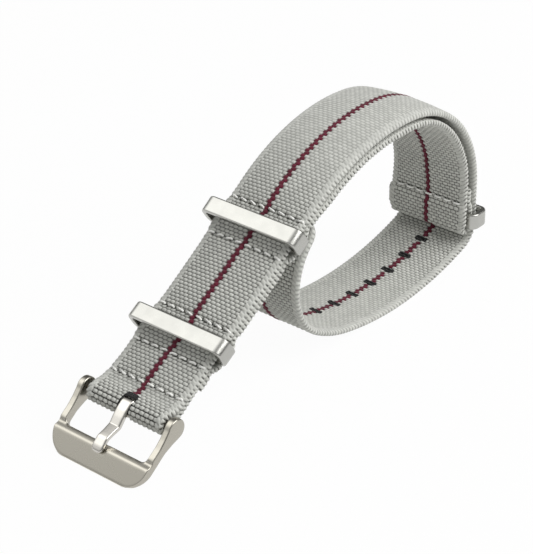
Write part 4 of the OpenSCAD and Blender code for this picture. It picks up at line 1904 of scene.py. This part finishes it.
@dataclass(frozen=True)
class Studio:
    """Camera, floor and lights, in metres and degrees, and the camera's image in pixels."""

    camera_place: Point = (-0.26786, -0.22711, 0.2231)
    azimuth: float = -49.22
    elevation: float = 30.46
    roll: float = -1.166
    focal_px: float = 1999.8
    image_px: float = 554.0
    sensor: float = 36.0
    floor_size: float = 4.0
    floor_color: Color = (0.8, 0.8, 0.79)
    floor_roughness: float = 0.9
    floor_gloss: float = 0.1
    floor_white: float = 0.965
    wall_color: Color = (1.0, 1.0, 0.99)
    scattered_light: float = 0.42
    bright_side: Point = (-0.3, 0.55, 0.78)
    bright_focus: float = 6.0
    bright_wall: float = 2.3
    far_wall: float = 0.3
    side_from: Pair = (-0.02, 0.36)
    side_light: Pair = (1.0, 0.4)
    lamp_place: Point = (0.26, -0.58, 0.73)
    lamp_aim: Point = (0.0, 0.0, 0.02)
    lamp_size: float = 0.9
    lamp_watts: float = 8.0

    def camera(self) -> None:
        """Stand the camera where the photo was taken from."""
        data = bpy.data.cameras.new("photo_camera")
        data.sensor_width = self.sensor
        data.sensor_fit = "AUTO"
        data.lens = self.sensor * self.focal_px / self.image_px
        data.clip_start = 0.01
        camera = bpy.data.objects.new("photo_camera", data)
        bpy.context.collection.objects.link(camera)
        a, e, t = (math.radians(v) for v in (self.azimuth, self.elevation, self.roll))
        right = Vector((math.cos(a), math.sin(a), 0.0))
        forward = Vector((-math.sin(a) * math.cos(e), math.cos(a) * math.cos(e), -math.sin(e)))
        up = right.cross(forward)
        turned = right * math.cos(t) + up * math.sin(t)
        raised = up * math.cos(t) - right * math.sin(t)
        turn = Matrix((turned, raised, -forward)).transposed().to_4x4()
        camera.matrix_world = Matrix.Translation(self.camera_place) @ turn
        bpy.context.scene.camera = camera

    @staticmethod
    def seen(tree: bpy.types.NodeTree) -> bpy.types.NodeSocket:
        """1 for what the camera sees straight on, in a gloss or through glass, 0 for scattered light."""
        path = node(tree, "ShaderNodeLightPath").outputs
        first = computed(tree, "MAXIMUM", path["Is Camera Ray"], path["Is Glossy Ray"])
        return computed(tree, "MAXIMUM", first, path["Is Transmission Ray"])

    def floor(self) -> None:
        """A pale floor, white where it is seen, that keeps the object's shadow."""
        bm = bmesh.new()
        bmesh.ops.create_grid(bm, x_segments=1, y_segments=1, size=self.floor_size)
        mesh = bpy.data.meshes.new("floor")
        bm.to_mesh(mesh)
        bm.free()
        finish = Finish("pale_floor", self.floor_color, self.floor_roughness, specular=self.floor_gloss)
        material, tree, shader = finish.start()
        white = node(tree, "ShaderNodeEmission")
        mixed = node(tree, "ShaderNodeMixShader")
        link(tree, computed(tree, "MULTIPLY", self.seen(tree), self.floor_white), mixed.inputs["Fac"])
        link(tree, shader.outputs["BSDF"], mixed.inputs[1])
        link(tree, white.outputs["Emission"], mixed.inputs[2])
        link(tree, mixed.outputs["Shader"], tree.nodes["Material Output"].inputs["Surface"])
        mesh.materials.append(material)
        floor = bpy.data.objects.new("floor", mesh)
        bpy.context.collection.objects.link(floor)

    def lamp(self) -> None:
        """Hang the soft main lamp."""
        data = bpy.data.lights.new("key", "AREA")
        data.shape = "DISK"
        data.size = self.lamp_size
        data.energy = self.lamp_watts
        lamp = bpy.data.objects.new("key", data)
        lamp.location = self.lamp_place
        way = Vector(self.lamp_place) - Vector(self.lamp_aim)
        lamp.rotation_euler = way.to_track_quat("Z", "Y").to_euler()
        bpy.context.collection.objects.link(lamp)

    def world(self) -> None:
        """Pale surroundings, brighter on one side, and white where the camera looks past the floor."""
        world = bpy.data.worlds.new("studio")
        bpy.context.scene.world = world
        world.use_nodes = True
        tree = world.node_tree
        back = tree.nodes["Background"]
        back.inputs["Color"].default_value = (*self.wall_color, 1.0)
        way = node(tree, "ShaderNodeTexCoord").outputs["Generated"]
        facing = node(tree, "ShaderNodeVectorMath", operation="DOT_PRODUCT")
        facing.inputs[1].default_value = self.bright_side
        link(tree, way, facing.inputs[0])
        ahead = computed(tree, "MAXIMUM", facing.outputs["Value"], 0.0)
        glow = computed(tree, "POWER", ahead, self.bright_focus)
        sky = computed(tree, "MULTIPLY_ADD", glow, self.bright_wall - self.far_wall, self.far_wall)
        split = node(tree, "ShaderNodeSeparateXYZ")
        link(tree, way, split.inputs["Vector"])
        values = {
            "From Min": self.side_from[0],
            "From Max": self.side_from[1],
            "To Min": self.side_light[0],
            "To Max": self.side_light[1],
        }
        shade = node(tree, "ShaderNodeMapRange", interpolation_type="SMOOTHSTEP", **values)
        link(tree, split.outputs["X"], shade.inputs["Value"])
        level = node(tree, "ShaderNodeMix", data_type="FLOAT", A=self.scattered_light)
        link(tree, self.seen(tree), level.inputs["Factor"])
        link(tree, computed(tree, "MULTIPLY", sky, shade.outputs["Result"]), level.inputs["B"])
        straight = node(tree, "ShaderNodeLightPath")
        white = node(tree, "ShaderNodeMix", data_type="FLOAT", B=1.0)
        link(tree, straight.outputs["Is Camera Ray"], white.inputs["Factor"])
        link(tree, level.outputs["Result"], white.inputs["A"])
        link(tree, white.outputs["Result"], back.inputs["Strength"])

    def build(self) -> None:
        """Set up the studio."""
        bpy.context.scene.view_settings.view_transform = "Standard"
        self.camera()
        self.floor()
        self.world()
        self.lamp()


def main() -> None:
    """Build the whole strap in order and report each piece."""
    logging.basicConfig(level=logging.INFO, format="%(message)s")
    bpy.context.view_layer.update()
    Studio().build()
    joints = frame["record"]["behaviour"]["joints"]
    bar = next(joint for joint in joints if joint["name"] == "frame_hinge")["pos_m"]
    finishes = Finishes()
    path = StrapPath(WebbingSizes(), SeamSizes(), bar[0] / MM, bar[2] / MM)
    places = Places(path)
    straps = Straps(path, places, ShortStrapShape(path, places), finishes)
    straps.build()
    Sewing(straps, finishes).build()
    Hardware(finishes, BuckleSizes(path.bar_x, path.bar_z)).build()


if __name__ == "__main__":
    main()
